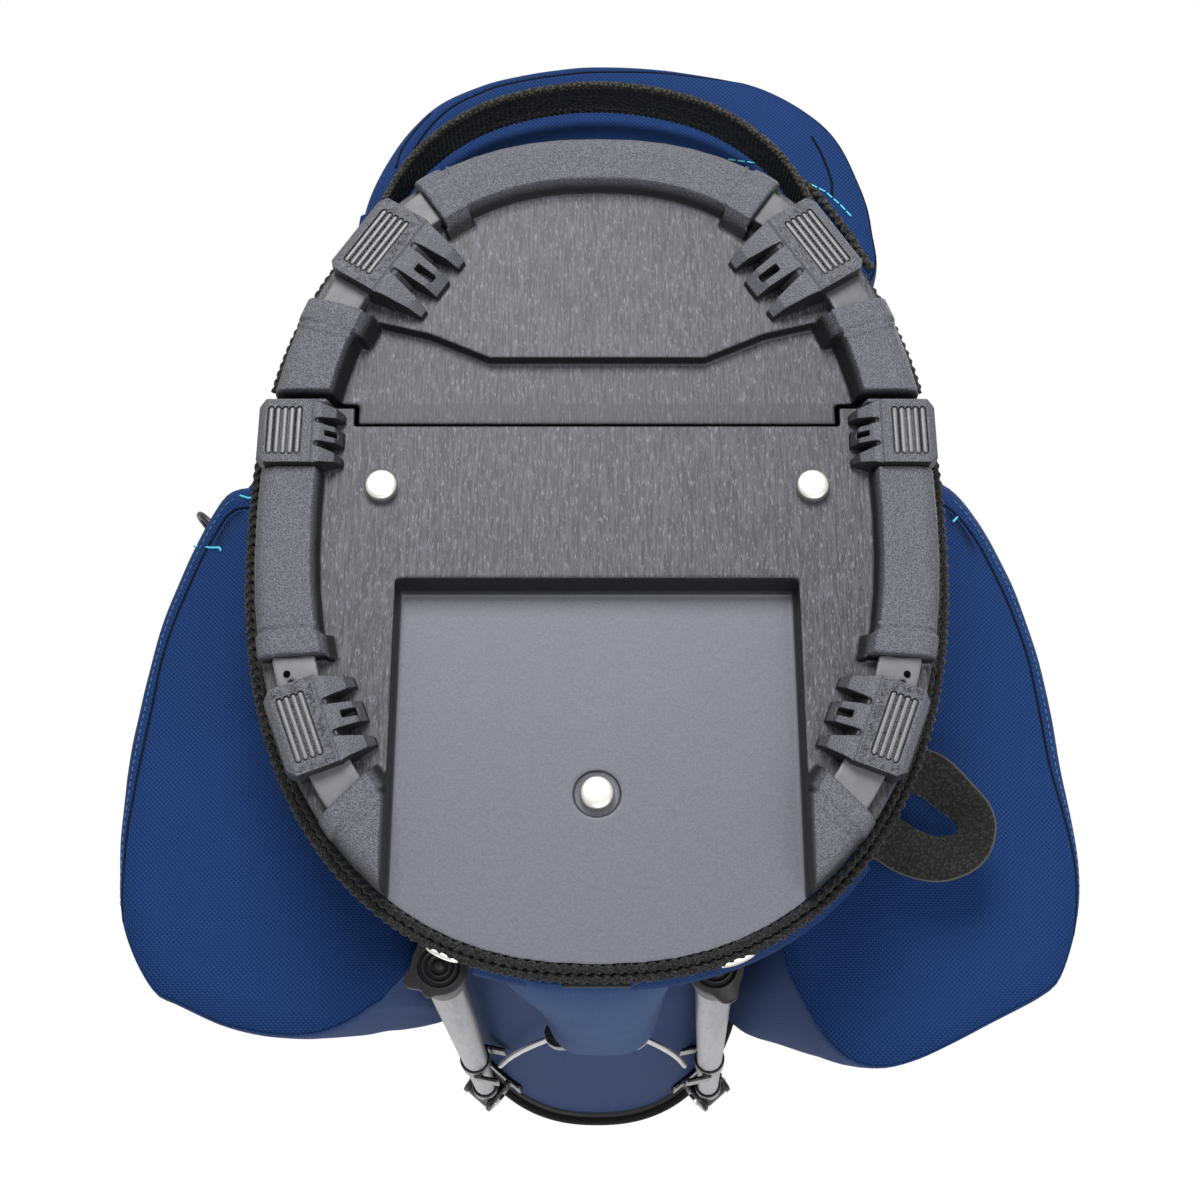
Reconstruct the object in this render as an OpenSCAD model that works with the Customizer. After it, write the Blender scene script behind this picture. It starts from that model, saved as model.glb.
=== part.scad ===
// Golf stand bag: oval moulded base with a hinged foot plate, fabric body,
// pockets, and two folding legs driven through a push rod and spreader wires.
// The bag stands on its base. +Z runs up the bag, -Y is the front (leg) side,
// and the origin is the centre of the base on the ground.

/* [Base] */
// Half width of the base oval
base_half_w = 126; // [120:1:132]
// Half depth of the base oval
base_half_d = 164; // [158:1:170]
// Width of the raised ring round the base
ring_w = 21; // [19:1:23]
// Height of the ring above the ground, under which the clips stand proud
ring_lift = 3; // [2:0.5:4]
// Depth of the main floor above the ring
floor_depth = 8; // [6:1:10]
// Wall of the moulded tray and foot plate
tray_wall = 3; // [2.5:0.5:4]
// Height of the tray rim above the ground
rim_z = 26; // [24:1:28]

/* [Foot plate] */
// Front edge of the centre gap between tray and foot plate
gap_y = 37; // [35:0.5:38]
// Width of the gap between tray and foot plate
gap_w = 3; // [2:0.5:4]
// How far the foot plate's ears reach behind the centre gap
ear_reach = 7.5; // [6:0.5:9]
// Half width of the tray's tongue between the ears
tongue_half_w = 91.5; // [85:0.5:93]
// Half width of the recessed panel
panel_half_w = 73; // [66:1:76]
// Depth of the recessed panel above the plate floor
panel_depth = 11; // [8:1:12]
// Rear edge of the recessed panel
panel_rear_y = -26; // [-36:1:-18]
// Diameter of the rivet heads
stud_d = 12.4; // [10:0.2:14]

/* [Hinge] */
// Height of the hinge pin above the ground
hinge_z = 25; // [24:0.5:26]
// Position of the hinge pin along the depth
hinge_y = 37; // [36:0.5:39]
// Diameter of the hinge pin
hinge_pin_d = 5; // [4:0.5:6]

/* [Clips] */
// Length of a tooth on the rear clips
rear_tooth = 19; // [15:1:21]
// Length of a tooth on the middle clips
mid_tooth = 10; // [8:1:12]
// Length of a tooth on the front clips
front_tooth = 13; // [10:1:15]
// Depth of the pocket that holds the grip ribs
grip_depth = 1; // [0.8:0.1:1.4]

/* [Body] */
// Height of the collar's top edge
bag_h = 890; // [850:5:930]
// Height of the moulded collar
collar_h = 42; // [36:1:50]
// Thickness of the body fabric with its lining
fabric_t = 3; // [2:0.5:4]
// Slope of the body's cut edge above the foot plate, in degrees
cut_slope = 20; // [19:0.5:22]
// Height of the side pockets' top
side_pocket_top = 560; // [500:10:620]
// Height of the rear pocket's top
rear_pocket_top = 430; // [400:10:470]

/* [Legs] */
// Height of the leg pivots
pivot_z = 780; // [760:5:790]
// Distance of each leg pivot from the middle
pivot_x = 84; // [80:1:86]
// Position of the leg pivots in front of the middle
pivot_y = -136; // [-138:1:-134]
// Diameter of the leg tubes
leg_d = 15; // [14:0.5:16]
// Diameter of the leg pivot pins
leg_pin_d = 6; // [5:0.5:7]
// Height of the folded feet
foot_z = 42; // [40:1:46]
// Sideways position of the folded right foot
right_foot_x = 56; // [50:1:58]
// Sideways position of the folded left foot
left_foot_x = -42; // [-50:1:-40]

/* [Push rod] */
// Diameter of the push rod
rod_d = 7; // [6:0.5:8]
// How far the push rod stands inside the base's front edge
rod_inset = 4; // [3.5:0.5:5]
// Height of the yoke's wire sockets
yoke_z = 250; // [245:1:256]
// Diameter of the spreader wires
wire_d = 3.6; // [3:0.2:4.4]
// Distance from a leg pivot to its wire slot
wire_on_leg = 283; // [278:1:288]

/* [Hidden] */

$fn = 48;
oval_power = 2.3;       // roundness of the base and body ovals
oval_points = 72;
pocket_power = 2.6;     // the pockets are a little squarer
pocket_points = 40;
soft_gap = 0.3;         // room between soft pieces and their neighbours
seat = 0.02;            // clearance of pieces that seat on each other
run = 0.05;             // radial clearance of a pin or rod that turns or slides

// The base's and the bag's sizes against their usual ones: what is sewn or clipped
// on follows them
wide = base_half_w / 126;
deep = base_half_d / 164;
tall = bag_h / 890;
rod_y = rod_inset - base_half_d;

floor_z = ring_lift + floor_depth;         // main floor, rear and front
step_z = floor_z + 5;                      // deeper floor behind the step
panel_z = floor_z + panel_depth;           // recessed panel in the foot plate
rail_z = ring_lift + 2.5;                  // underside of the rails
rail_top = floor_z;                        // top of the rails and of the bays
ear_y = gap_y + ear_reach;
body_z = rim_z + 1;                        // lower edge of the body fabric
collar_z = bag_h - collar_h;
tube_top = collar_z - 0.5;

// ---------------------------------------------------------------- shapes

// Outline of a superellipse, counter-clockwise
function oval(a, b, power = oval_power, count = oval_points) =
  [for (i = [0 : count - 1])
    let (t = 360 * i / count, c = cos(t), s = sin(t))
    [a * sign(c) * pow(abs(c), 2 / power), b * sign(s) * pow(abs(s), 2 / power)]];

// The base oval drawn in by an inset
function base_oval(inset) = oval(base_half_w - inset, base_half_d - inset);

// A flat outline lifted to a height and shifted
function at_height(outline, z, shift = [0, 0]) =
  [for (p = outline) [p[0] + shift[0], p[1] + shift[1], z]];

// A closed solid through rings of equally many points, from the lowest up
module loft(rings) {
  count = len(rings[0]);
  last = len(rings) - 1;
  polyhedron(
    points = [for (ring = rings) each ring],
    faces = concat(
      [[for (i = [0 : count - 1]) i]],
      [for (k = [0 : last - 1], i = [0 : count - 1])
        [k * count + i, (k + 1) * count + i, (k + 1) * count + (i + 1) % count,
         k * count + (i + 1) % count]],
      [[for (i = [count - 1 : -1 : 0]) last * count + i]]),
    convexity = 6);
}

function unit(v) = v / norm(v);

// Direction of a path at one of its points
function heading(path, i) =
  unit(path[min(i + 1, len(path) - 1)] - path[max(i - 1, 0)]);

// A section of [across, up] points swept along a path. up_hint is the section's up
module sweep(path, section, up_hint) {
  loft([for (i = [0 : len(path) - 1])
    let (t = heading(path, i),
         up = unit(up_hint - (up_hint * t) * t),
         across = cross(up, t))
    [for (p = section) path[i] + p[0] * across + p[1] * up]]);
}

function round_section(r, count = 8) =
  [for (i = [0 : count - 1]) r * [cos(360 * i / count), sin(360 * i / count)]];

function flat_section(w, t) =
  [[w / 2, -t / 2], [w / 2, t / 2], [-w / 2, t / 2], [-w / 2, -t / 2]];

// Smooth path through chosen points (Catmull-Rom), steps per stretch
function smooth_path(points, steps = 6) =
  let (last = len(points) - 1)
  concat([for (k = [0 : last - 1], j = [0 : steps - 1])
    let (a = points[max(k - 1, 0)], b = points[k], c = points[k + 1],
         d = points[min(k + 2, last)], t = j / steps)
    0.5 * (2 * b + (c - a) * t + (2 * a - 5 * b + 4 * c - d) * t * t
      + (3 * b - a - 3 * c + d) * t * t * t)],
    [points[last]]);

module mirrored() {
  children();
  mirror([1, 0, 0]) children();
}

module on_side(side) {
  if (side > 0) children();
  else mirror([1, 0, 0]) children();
}

// ------------------------------------------------------------- moulded base

// Each clip bay: centre of the clip, its turn about Z, the clip's reach along the
// ring (rear, front) and across it (out, in), and the tooth length
rear_bay = [86 * wide, 113 * deep, 32.4, 17.5, -20, 10, -13, rear_tooth];
mid_bay = [base_half_w - 11.4, 30, 0, 12.8, -13.4, 12.4, -9.5, mid_tooth];
front_bay = [102.7 * wide, -83.6 * deep, -21.1, 15.5, -18, 11.2, -9, front_tooth];
rail_in = 19.5;         // inset of the rails' inner edge
rail_out = 4.5;         // inset of the rails' outer edge

module at_bay(bay) {
  translate([bay[0], bay[1], 0]) rotate(bay[2]) children();
}

// Plan of the open stretch of ring round the rear and front clips
module rear_bay_plan() {
  scale([wide, deep]) polygon([[80, 153], [56, 117], [83, 80.5], [125, 93], [125, 153]]);
}

module front_bay_plan() {
  scale([wide, deep])
    polygon([[135, -59.3], [95, -56.7], [76, -96.5], [105, -126.5], [135, -126.5]]);
}

// The ring is cut straight across for the middle clip
module mid_bay_plan() {
  translate([mid_bay[0] - 18, mid_bay[1] + mid_bay[4]])
    square([35, mid_bay[3] - mid_bay[4]]);
}

module ring_band(outer_inset, inner_inset) {
  difference() {
    polygon(base_oval(outer_inset));
    polygon(base_oval(inner_inset));
  }
}

// Outer form of the base with its rounded lower edge
module base_block() {
  loft([at_height(base_oval(6), ring_lift), at_height(base_oval(3), ring_lift + 0.9),
        at_height(base_oval(1), ring_lift + 2.8), at_height(base_oval(0), ring_lift + 6),
        at_height(base_oval(0), rim_z)]);
}

// Drafted pocket inside the ring
draft = 2.8;

module ring_pocket(top) {
  loft([at_height(base_oval(ring_w), 0), at_height(base_oval(ring_w), ring_lift),
        at_height(base_oval(ring_w + draft), top)]);
}

// Hollow of the ring and rim, open upwards, over a floor at a height
module upper_hollow(floor_top) {
  translate([0, 0, floor_top])
    linear_extrude(rim_z) polygon(base_oval(tray_wall));
}

module bay_cut() {
  translate([0, 0, -1]) linear_extrude(rail_top + 1) difference() {
    mirrored() {
      rear_bay_plan();
      mid_bay_plan();
      front_bay_plan();
    }
    polygon(base_oval(ring_w + draft));
  }
}

// Plan of the rear tray's share of the base: behind the gap, with its tongue
module tray_plan() {
  translate([-200, ear_y + gap_w + 1]) square([400, 200]);
  translate([-tongue_half_w, gap_y + gap_w]) square([2 * tongue_half_w, 60]);
}

module plate_plan() {
  difference() {
    translate([-200, -200]) square([400, 200 + ear_y]);
    translate([-tongue_half_w - 0.8, gap_y]) square([2 * tongue_half_w + 1.6, 60]);
  }
}

// The deeper floor behind the step has slanted corners
module step_plan() {
  scale([wide, deep])
    polygon([[-110, 88], [-65, 76.6], [-41.6, 66.2], [41.6, 66.2], [65, 76.6], [110, 88],
             [110, 0], [-110, 0]]);
}

// A stretch of ring ends at a bay in a lip: it stands a little proud of the ring,
// and its foot flares out over the floor
lip_rise = 0.8;
lip_flare = 4.5;

module lip_form(top) {
  difference() {
    loft([at_height(base_oval(5.2), ring_lift - lip_rise), at_height(base_oval(2), ring_lift + 0.1),
          at_height(base_oval(0.1), ring_lift + 2), at_height(base_oval(-0.6), ring_lift + 4.5),
          at_height(base_oval(-0.6), top)]);
    loft([at_height(base_oval(ring_w + 0.8), 0), at_height(base_oval(ring_w + 1), ring_lift + 0.2),
          at_height(base_oval(ring_w + draft + 1.5), ring_lift + 0.65 * floor_depth),
          at_height(base_oval(ring_w + draft + lip_flare), top + 0.1)]);
  }
}

// A lip along a bay's edge, with a thin cross rib beside it. width is measured to
// the left of the edge, or to its right if negative
module lip(from, to, width, top) {
  start = [from[0] * wide, from[1] * deep];
  edge = [to[0] * wide, to[1] * deep] - start;
  hand = sign(width);
  intersection() {
    lip_form(top);
    translate(start) rotate(atan2(edge[1], edge[0])) {
      translate([0, hand > 0 ? -1 : width, 0]) cube([norm(edge), abs(width) + 1, top - 0.01]);
      translate([0, width + hand * 2.9 - 0.7, 0]) cube([norm(edge), 1.4, ring_lift + 1]);
    }
  }
}

module base_tray() color("dimgray")
  difference() {
    union() {
      difference() {
        intersection() {
          base_block();
          linear_extrude(rim_z + 1) tray_plan();
        }
        upper_hollow(step_z + tray_wall);
        ring_pocket(floor_z);
        // deeper floor in front of the step
        intersection() {
          ring_pocket(step_z);
          linear_extrude(step_z) step_plan();
        }
      }
      mirrored() {
        lip([80, 153], [51, 109.5], -11, floor_z + 1);
        lip([125, 93], [78, 79], 9.5, step_z + 1);
      }
    }
    bay_cut();
  }

rod_seat_z = rim_z + 2;

stud_places = [[80.5 * wide, 11 * deep], [-80.5 * wide, 11 * deep], [0, -103.5 * deep]];

module foot_plate() color("dimgray") {
  difference() {
    union() {
      difference() {
        intersection() {
          base_block();
          linear_extrude(rim_z + 1) plate_plan();
        }
        // hollow above the floor, left solid over the recessed panel
        difference() {
          upper_hollow(floor_z + tray_wall);
          translate([-panel_half_w - tray_wall, -200, 0])
            cube([2 * (panel_half_w + tray_wall), 200 + panel_rear_y + tray_wall,
                  panel_z + tray_wall]);
        }
        ring_pocket(floor_z);
      }
      mirrored() {
        lip([135, -59.3], [90, -56.4], -8.5, floor_z + 1);
        lip([72, -92.4], [105, -126.5], -7, floor_z + 1);
      }
    }
    panel_recess();
    bay_cut();
    for (place = stud_places)
      translate([each place, 0]) cylinder(d = 5, h = 60);
    translate([each stud_places[2], 0]) cylinder(d = 17, h = panel_z + 1.4);
  }
  // seat for the push rod's shoe, moulded on top of the panel and over the rim
  translate([-12, rod_y - 3, panel_z + 1]) cube([24, 13, rod_seat_z - panel_z - 1]);
  translate([-12, rod_y - 11, rim_z]) cube([24, 12, rod_seat_z - rim_z]);
}

// The recessed panel runs out through the front rim
module panel_recess() {
  draft = 1.6;
  low = panel_half_w + draft;
  hull() {
    translate([-low, -200, -1]) cube([2 * low, 200 + panel_rear_y + 2 * draft, 1]);
    translate([-panel_half_w, -200, panel_z - 0.01])
      cube([2 * panel_half_w, 200 + panel_rear_y - draft, 0.01]);
  }
}

// Bars that stay under the ring's gaps and carry the clips
module rails() {
  translate([0, 0, rail_z]) linear_extrude(rail_top - rail_z - seat)
    intersection() {
      ring_band(rail_out, rail_in);
      offset(delta = -seat) children();
    }
}

module rear_rails() color("darkgray")
  mirrored() rails() rear_bay_plan();

module front_rails() color("darkgray")
  difference() {
    mirrored() rails() front_bay_plan();
    mirrored() translate([108.5 * wide, -67.5 * deep, 0]) cylinder(d = 2.4, h = rail_z + 4);
  }

// Wedges on a clip's inner side: three fins that narrow towards the middle of the
// base, over a short slope between them
module clip_fins(bay) {
  rear = bay[3];
  front = bay[4];
  inner = bay[6];
  tooth_len = bay[7];
  run_len = rear - front;
  // each fin: its two sides at the saddle and at its tip, as shares of the run
  fins = [[0.01, 0.29, 0.1, 0.2], [0.35, 0.65, 0.385, 0.615], [0.71, 0.99, 0.79, 0.9]];
  intersection() {
    translate([inner, rear, 0]) rotate([90, 0, 0]) linear_extrude(run_len)
      polygon([[0.6, 0.8], [-0.2 * tooth_len, 1.5], [-0.7 * tooth_len, 4.6],
               [-0.97 * tooth_len, floor_z - 2.4], [-tooth_len, floor_z - 0.6],
               [-tooth_len, floor_z + 1], [0.6, floor_z + 1]]);
    linear_extrude(floor_z + 1)
      for (fin = fins)
        polygon([[inner + 0.6, front + fin[0] * run_len], [inner + 0.6, front + fin[1] * run_len],
                 [inner - tooth_len, front + fin[3] * run_len],
                 [inner - tooth_len, front + fin[2] * run_len]]);
  }
  translate([inner, rear - 0.03 * run_len, 0]) rotate([90, 0, 0])
    linear_extrude(0.94 * run_len)
      polygon([[0.6, 1.6], [-0.08 * tooth_len, 2.4], [-0.42 * tooth_len, floor_z - 0.8],
               [-0.42 * tooth_len, floor_z + 1], [0.6, floor_z + 1]]);
}

// One clip: a saddle across the ring, with fins on its inner side
module clip(bay) {
  rear = bay[3];
  front = bay[4];
  outer = bay[5];
  inner = bay[6];
  tooth_len = bay[7];
  run_len = rear - front;
  difference() {
    union() {
      // saddle, with its edges chamfered
      translate([0, rear, 0]) rotate([90, 0, 0]) linear_extrude(run_len)
        polygon([[inner + 1.5, 0], [outer - 3, 0], [outer - 0.6, 1.6], [outer, 5],
                 [outer, rail_top + 1], [inner, rail_top + 1], [inner, 1.4]]);
      clip_fins(bay);
    }
    // slots for the grip ribs
    translate([0, 0, -1]) linear_extrude(1 + grip_depth) grip_plan(bay, grip_gap);
    // slot through the middle fin
    translate([inner - tooth_len * 0.55, (rear + front) / 2, 0])
      cube([tooth_len * 0.42, run_len * 0.085, 2 * (floor_z - 2)], center = true);
    // chamfer at both ends of the saddle
    for (end = [rear, front])
      translate([outer, end, 0]) rotate([0, 0, 45])
        cube([5, 5, 60], center = true);
  }
}

function grip_w(bay) = (bay[5] - bay[6]) * 0.6;
function grip_len(bay) = (bay[3] - bay[4]) * 0.72;

module rear_clip(side) color("dimgray") on_side(side)
  difference() {
    at_bay(rear_bay) clip(rear_bay);
    rail_room();
    tray_room() rear_bay_plan();
  }

module mid_clip(side) color("dimgray") on_side(side)
  difference() {
    at_bay(mid_bay) clip(mid_bay);
    tray_room() mid_bay_plan();
  }

module front_clip(side) color("dimgray") on_side(side)
  difference() {
    at_bay(front_bay) clip(front_bay);
    rail_room();
    tray_room() front_bay_plan();
  }

// Space that the rails take
module rail_room()
  translate([0, 0, rail_z - seat]) linear_extrude(60)
    difference() {
      polygon(base_oval(rail_out - seat));
      polygon(base_oval(rail_in + seat));
    }

// Space that the floor and the ring take outside an open bay
module tray_room() {
  translate([0, 0, ring_lift - seat]) linear_extrude(60)
    difference() {
      polygon(base_oval(-0.01));
      polygon(base_oval(ring_w + draft + 0.1));
      offset(delta = -seat) children();
    }
  translate([0, 0, rail_top - seat]) linear_extrude(60) square(600, center = true);
}

// Grip ribs: round-ended bars that lie in slots of their own in a clip's face
grip_bar_w = 1.5;
grip_pitch = 2.6;
grip_gap = 0.45;

module grip_plan(bay, growth = 0) {
  count = floor(grip_w(bay) / grip_pitch);
  half = grip_len(bay) / 2 - grip_bar_w / 2;
  translate([(bay[5] + bay[6]) / 2 + 0.4, (bay[3] + bay[4]) / 2])
    for (k = [0 : count - 1])
      translate([(k - (count - 1) / 2) * grip_pitch, 0])
        hull() for (end = [-1, 1])
          translate([0, end * half]) circle(d = grip_bar_w + 2 * growth, $fn = 12);
}

module grip_ribs(bay) {
  at_bay(bay) translate([0, 0, seat]) linear_extrude(grip_depth - 2 * seat) grip_plan(bay);
}

module rear_grip_ribs() color("silver") mirrored() grip_ribs(rear_bay);

module plate_grip_ribs() color("silver") mirrored() {
  grip_ribs(mid_bay);
  grip_ribs(front_bay);
}

// Nickel rivets with domed heads, clenched above the floor
module base_studs() color("gainsboro")
  for (place = stud_places) {
    on_panel = abs(place[0]) < panel_half_w;
    under = on_panel ? panel_z + 1.4 : floor_z;
    top = on_panel ? panel_z + tray_wall : floor_z + tray_wall;
    translate([each place, 0]) {
      translate([0, 0, under - 4.5]) cylinder(d1 = stud_d - 1.6, d2 = stud_d, h = 0.8);
      translate([0, 0, under - 3.7]) cylinder(d = stud_d, h = 3.7 - seat);
      translate([0, 0, under - 3.7]) cylinder(d = 5 - 2 * seat, h = top - under + 5.7);
      translate([0, 0, top + seat]) cylinder(d = 9, h = 1.6);
    }
  }

// ------------------------------------------------------------------- hinge

hinge_half = 84;                    // half length of the hinge pin
knuckle_d = hinge_pin_d + 5;
knuckle_len = 18;
block_places = [-66, -22, 22, 66];

// Knuckle blocks stand on a floor and turn on the pin, one beside the other
module hinge_block(foot_low, foot_rear, foot_front, bore) {
  difference() {
    union() {
      rotate([0, 90, 0]) cylinder(d = knuckle_d, h = knuckle_len, center = true);
      translate([-knuckle_len / 2, foot_front - hinge_y, foot_low - hinge_z])
        cube([knuckle_len, foot_rear - foot_front, hinge_z - foot_low + 2.5]);
    }
    rotate([0, 90, 0]) cylinder(d = bore, h = knuckle_len + 2, center = true);
  }
}

module rear_hinge_blocks() color("dimgray")
  for (x = block_places)
    translate([x - knuckle_len / 2 - 0.5, hinge_y, hinge_z])
      hinge_block(step_z + tray_wall + seat, hinge_y + knuckle_d / 2 + 4, gap_y + gap_w + 0.2,
                  hinge_pin_d);

module plate_hinge_blocks() color("dimgray")
  for (x = block_places)
    translate([x + knuckle_len / 2 + 0.5, hinge_y, hinge_z])
      difference() {
        union() {
          rotate([0, 90, 0])
            cylinder(d = knuckle_d, h = knuckle_len, center = true);
          // arm that reaches forward over the plate's floor
          translate([-knuckle_len / 2, -21, floor_z + tray_wall + seat - hinge_z])
            cube([knuckle_len, 13, hinge_z - floor_z - tray_wall - seat]);
          translate([-knuckle_len / 2, -10, -1.5]) cube([knuckle_len, 10, 5]);
        }
        rotate([0, 90, 0])
          cylinder(d = hinge_pin_d + 2 * run, h = knuckle_len + 2, center = true);
      }

module hinge_pin() color("silver")
  translate([-hinge_half, hinge_y, hinge_z]) rotate([0, 90, 0])
    cylinder(d = hinge_pin_d, h = 2 * hinge_half);

// --------------------------------------------------------------- welts

welt_z = 23.4;
welt_r = 2.3;
welt_out = -(welt_r + 0.1);        // the cord lies just outside the rim

// A stretch of the cord round the base between two turns, in degrees
module welt(from, to) {
  steps = 44;
  a = base_half_w - welt_out;
  b = base_half_d - welt_out;
  path = [for (i = [0 : steps])
    let (t = from + (to - from) * i / steps, c = cos(t), s = sin(t))
    [a * sign(c) * pow(abs(c), 2 / oval_power), b * sign(s) * pow(abs(s), 2 / oval_power), welt_z]];
  sweep(path, round_section(welt_r), [0, 0, 1]);
}

module rear_welt() color("black") welt(17, 163);
module front_welt() color("black") welt(-194, 14);

// ------------------------------------------------------------------- body

// Body outline at each level: height, half width, half depth, shift to the front
body_levels = [[body_z, base_half_w - 1, base_half_d - 1, 0],
               [60, base_half_w - 4.5, base_half_d - 9, 0],
               [110, base_half_w - 7, base_half_d - 12.5, 0],
               [400 * tall, base_half_w - 10, base_half_d - 18, -4],
               [tube_top, base_half_w - 14, base_half_d - 25, -10]];

function body_rings(inset, low, high) =
  [for (i = [0 : len(body_levels) - 1])
    let (level = body_levels[i],
         z = i == 0 ? level[0] + low : i == len(body_levels) - 1 ? level[0] + high : level[0])
    at_height(oval(level[1] - inset, level[2] - inset), z, [0, level[3]])];

module body_solid(inset = 0, low = 0, high = 0) loft(body_rings(inset, low, high));

// Everything in front of and below the sloping cut above the foot plate
module below_cut(lift = 0) {
  translate([0, hinge_y + 12, rim_z + 3 + lift]) rotate([-cut_slope, 0, 0])
    translate([-300, -300, -300]) cube([600, 300, 300]);
}

module body_tube() color("navy")
  difference() {
    body_solid();
    body_solid(fabric_t, -1, 1);
    below_cut();
  }

module bellows_form(inset, low, high)
  loft([for (level = [[4, 11.5, rim_z + low], [6, 14.5, 45], [8, 15.5, high]])
    at_height(oval(base_half_w - level[0] - inset, base_half_d - level[1] - inset), level[2])]);

// Stretch fabric that closes the wedge between foot plate and body
module bellows() color("steelblue")
  intersection() {
    difference() {
      bellows_form(0, soft_gap, 110);
      bellows_form(1.6, 0, 111);
    }
    difference() {
      below_cut(-soft_gap);
      // notch round the push rod's seat
      translate([-13, -200, 0]) cube([26, 60, rod_seat_z + 1]);
    }
    translate([-300, -300, 0]) cube([600, 300 + ear_y, 200]);
  }

// Board that closes the body above the wedge
module inner_floor() color("black")
  intersection() {
    body_solid(fabric_t + soft_gap, 0.5, -1);
    difference() {
      below_cut(9);
      below_cut(4.5);
    }
    translate([-300, -300, rim_z + 3]) cube([600, 300 + hinge_y + 10, 200]);
  }

// Fibreglass stays that hold the collar up from the tray
stay_d = 5;
stay_places = [for (x = [-1, 1], place = [[92, 62], [60, 112]])
  [x * place[0] * wide, place[1] * deep]];

module stays() color("darkslategray")
  for (place = stay_places)
    hull() {
      translate([each place, step_z + tray_wall + seat]) cylinder(d = stay_d, h = 1);
      translate([place[0] * 0.92, place[1] - 12, collar_z - 1]) cylinder(d = stay_d, h = 1 - seat);
    }

collar_a = base_half_w - 11;
collar_b = base_half_d - 22;
collar_shift = -10;
collar_wall = 9;

module top_collar() color("black")
  difference() {
    loft([at_height(oval(collar_a - 2, collar_b - 2), collar_z, [0, collar_shift]),
          at_height(oval(collar_a, collar_b), collar_z + 4, [0, collar_shift]),
          at_height(oval(collar_a + 1, collar_b + 1), bag_h - 8, [0, collar_shift]),
          at_height(oval(collar_a - 1, collar_b - 1), bag_h - 2, [0, collar_shift]),
          at_height(oval(collar_a - 4, collar_b - 4), bag_h, [0, collar_shift])]);
    loft([for (level = [[collar_wall + 3, -1], [collar_wall, 6], [collar_wall, collar_h - 6],
                        [collar_wall - 3, collar_h + 1]])
      at_height(oval(collar_a - level[0], collar_b - level[0]), collar_z + level[1],
                [0, collar_shift])]);
  }

divider_t = 9;
divider_z = bag_h - 34;
divider_h = 26;

// Padded bars that part the mouth into four
module collar_dividers() color("black")
  intersection() {
    translate([0, 0, divider_z]) linear_extrude(divider_h) {
      translate([0, collar_shift + 12]) square([300, divider_t], center = true);
      square([divider_t, 400], center = true);
    }
    loft([at_height(oval(collar_a - collar_wall - seat, collar_b - collar_wall - seat), divider_z,
                    [0, collar_shift]),
          at_height(oval(collar_a - collar_wall - seat, collar_b - collar_wall - seat), bag_h - 7,
                    [0, collar_shift])]);
  }

handle_half = 46;
handle_out = 30;

// Moulded grab handle on the rear of the collar
module collar_handle() color("black") {
  back = collar_shift + collar_b;
  difference() {
    translate([0, 0, collar_z + 8]) linear_extrude(22) difference() {
      hull() {
        translate([-handle_half, back - 30]) square([2 * handle_half, 20]);
        for (x = [-1, 1]) translate([x * (handle_half - 14), back + handle_out - 14]) circle(r = 14);
      }
      hull() {
        translate([10 - handle_half, back - 31]) square([2 * handle_half - 20, 20]);
        for (x = [-1, 1]) translate([x * (handle_half - 16), back + handle_out - 15]) circle(r = 6);
      }
    }
    loft([for (z = [collar_z - 1, bag_h + 1])
      at_height(oval(collar_a + 1 + seat, collar_b + 1 + seat), z, [0, collar_shift])]);
  }
}

// ---------------------------------------------------------------- pockets

// An outline with its front half drawn back by a share of its depth
function drawn_back(outline, share) =
  [for (p = outline) [p[0], p[1] < 0 ? p[1] * (1 - share) : p[1]]];

// Pocket levels: height, inset, and the share by which the front draws back there
module pocket(centre, half, foot, top, taper = 0) {
  high = top - foot;
  levels = [[foot, 26, 0], [foot + 5, 12, 0], [foot + 14, 4, 0], [foot + 30, 0, 0],
            [foot + 0.45 * high, 0, 0.45 * taper], [top - 70, 0, 0.85 * taper],
            [top - 25, 12, taper], [top, 40, taper]];
  difference() {
    loft([for (level = levels)
      at_height(drawn_back(oval(half[0] - level[1], half[1] - level[1], pocket_power,
                                pocket_points), level[2]), level[0], centre)]);
    body_solid(-soft_gap, -10, 10);
  }
}

side_centre = [base_half_w + 2, -62 * deep];
side_half = [61, 117 * deep];
side_foot = 88;
side_taper = 0.5;                   // the side pockets narrow upwards
side_top = side_pocket_top * tall;
rear_centre = [-5 * wide, base_half_d - 14];
rear_half = [111 * wide, 96];
rear_foot = 54;
rear_top = rear_pocket_top * tall;

// Room that a leg needs as it swings out past the side pocket
module leg_room(side) {
  swing = [side * sin(pivot_turn), -cos(pivot_turn), 0];
  hull() for (far = [0, 260]) translate(far * swing)
    along(pivot(side), leg_way(side)) cylinder(d = leg_d + 10, h = leg_len(side), $fn = 24);
}

module side_pocket(side) color("midnightblue")
  difference() {
    on_side(side) pocket(side_centre, side_half, side_foot, side_top, side_taper);
    leg_room(side);
  }

module rear_pocket() color("midnightblue")
  pocket(rear_centre, rear_half, rear_foot, rear_top);

// A pocket's side at a place along its depth, on the outside
function pocket_edge(centre, half, y) =
  centre[0] + half[0] * pow(1 - pow(abs(y - centre[1]) / half[1], pocket_power), 1 / pocket_power);

zip_y = 14 * deep;
zip_x = pocket_edge(side_centre, side_half, zip_y);
zip_turn = 22;
rear_zip_x = 80 * wide;
rear_zip_y = rear_centre[1]
  + rear_half[1] * pow(1 - pow((rear_zip_x - rear_centre[0]) / rear_half[0], pocket_power),
                       1 / pocket_power);
rear_zip_turn = 52;
zip_low = 160;
zip_len = side_top - zip_low - 90;
rear_zip_len = rear_top - zip_low - 80;
zip_w = 9;

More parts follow.
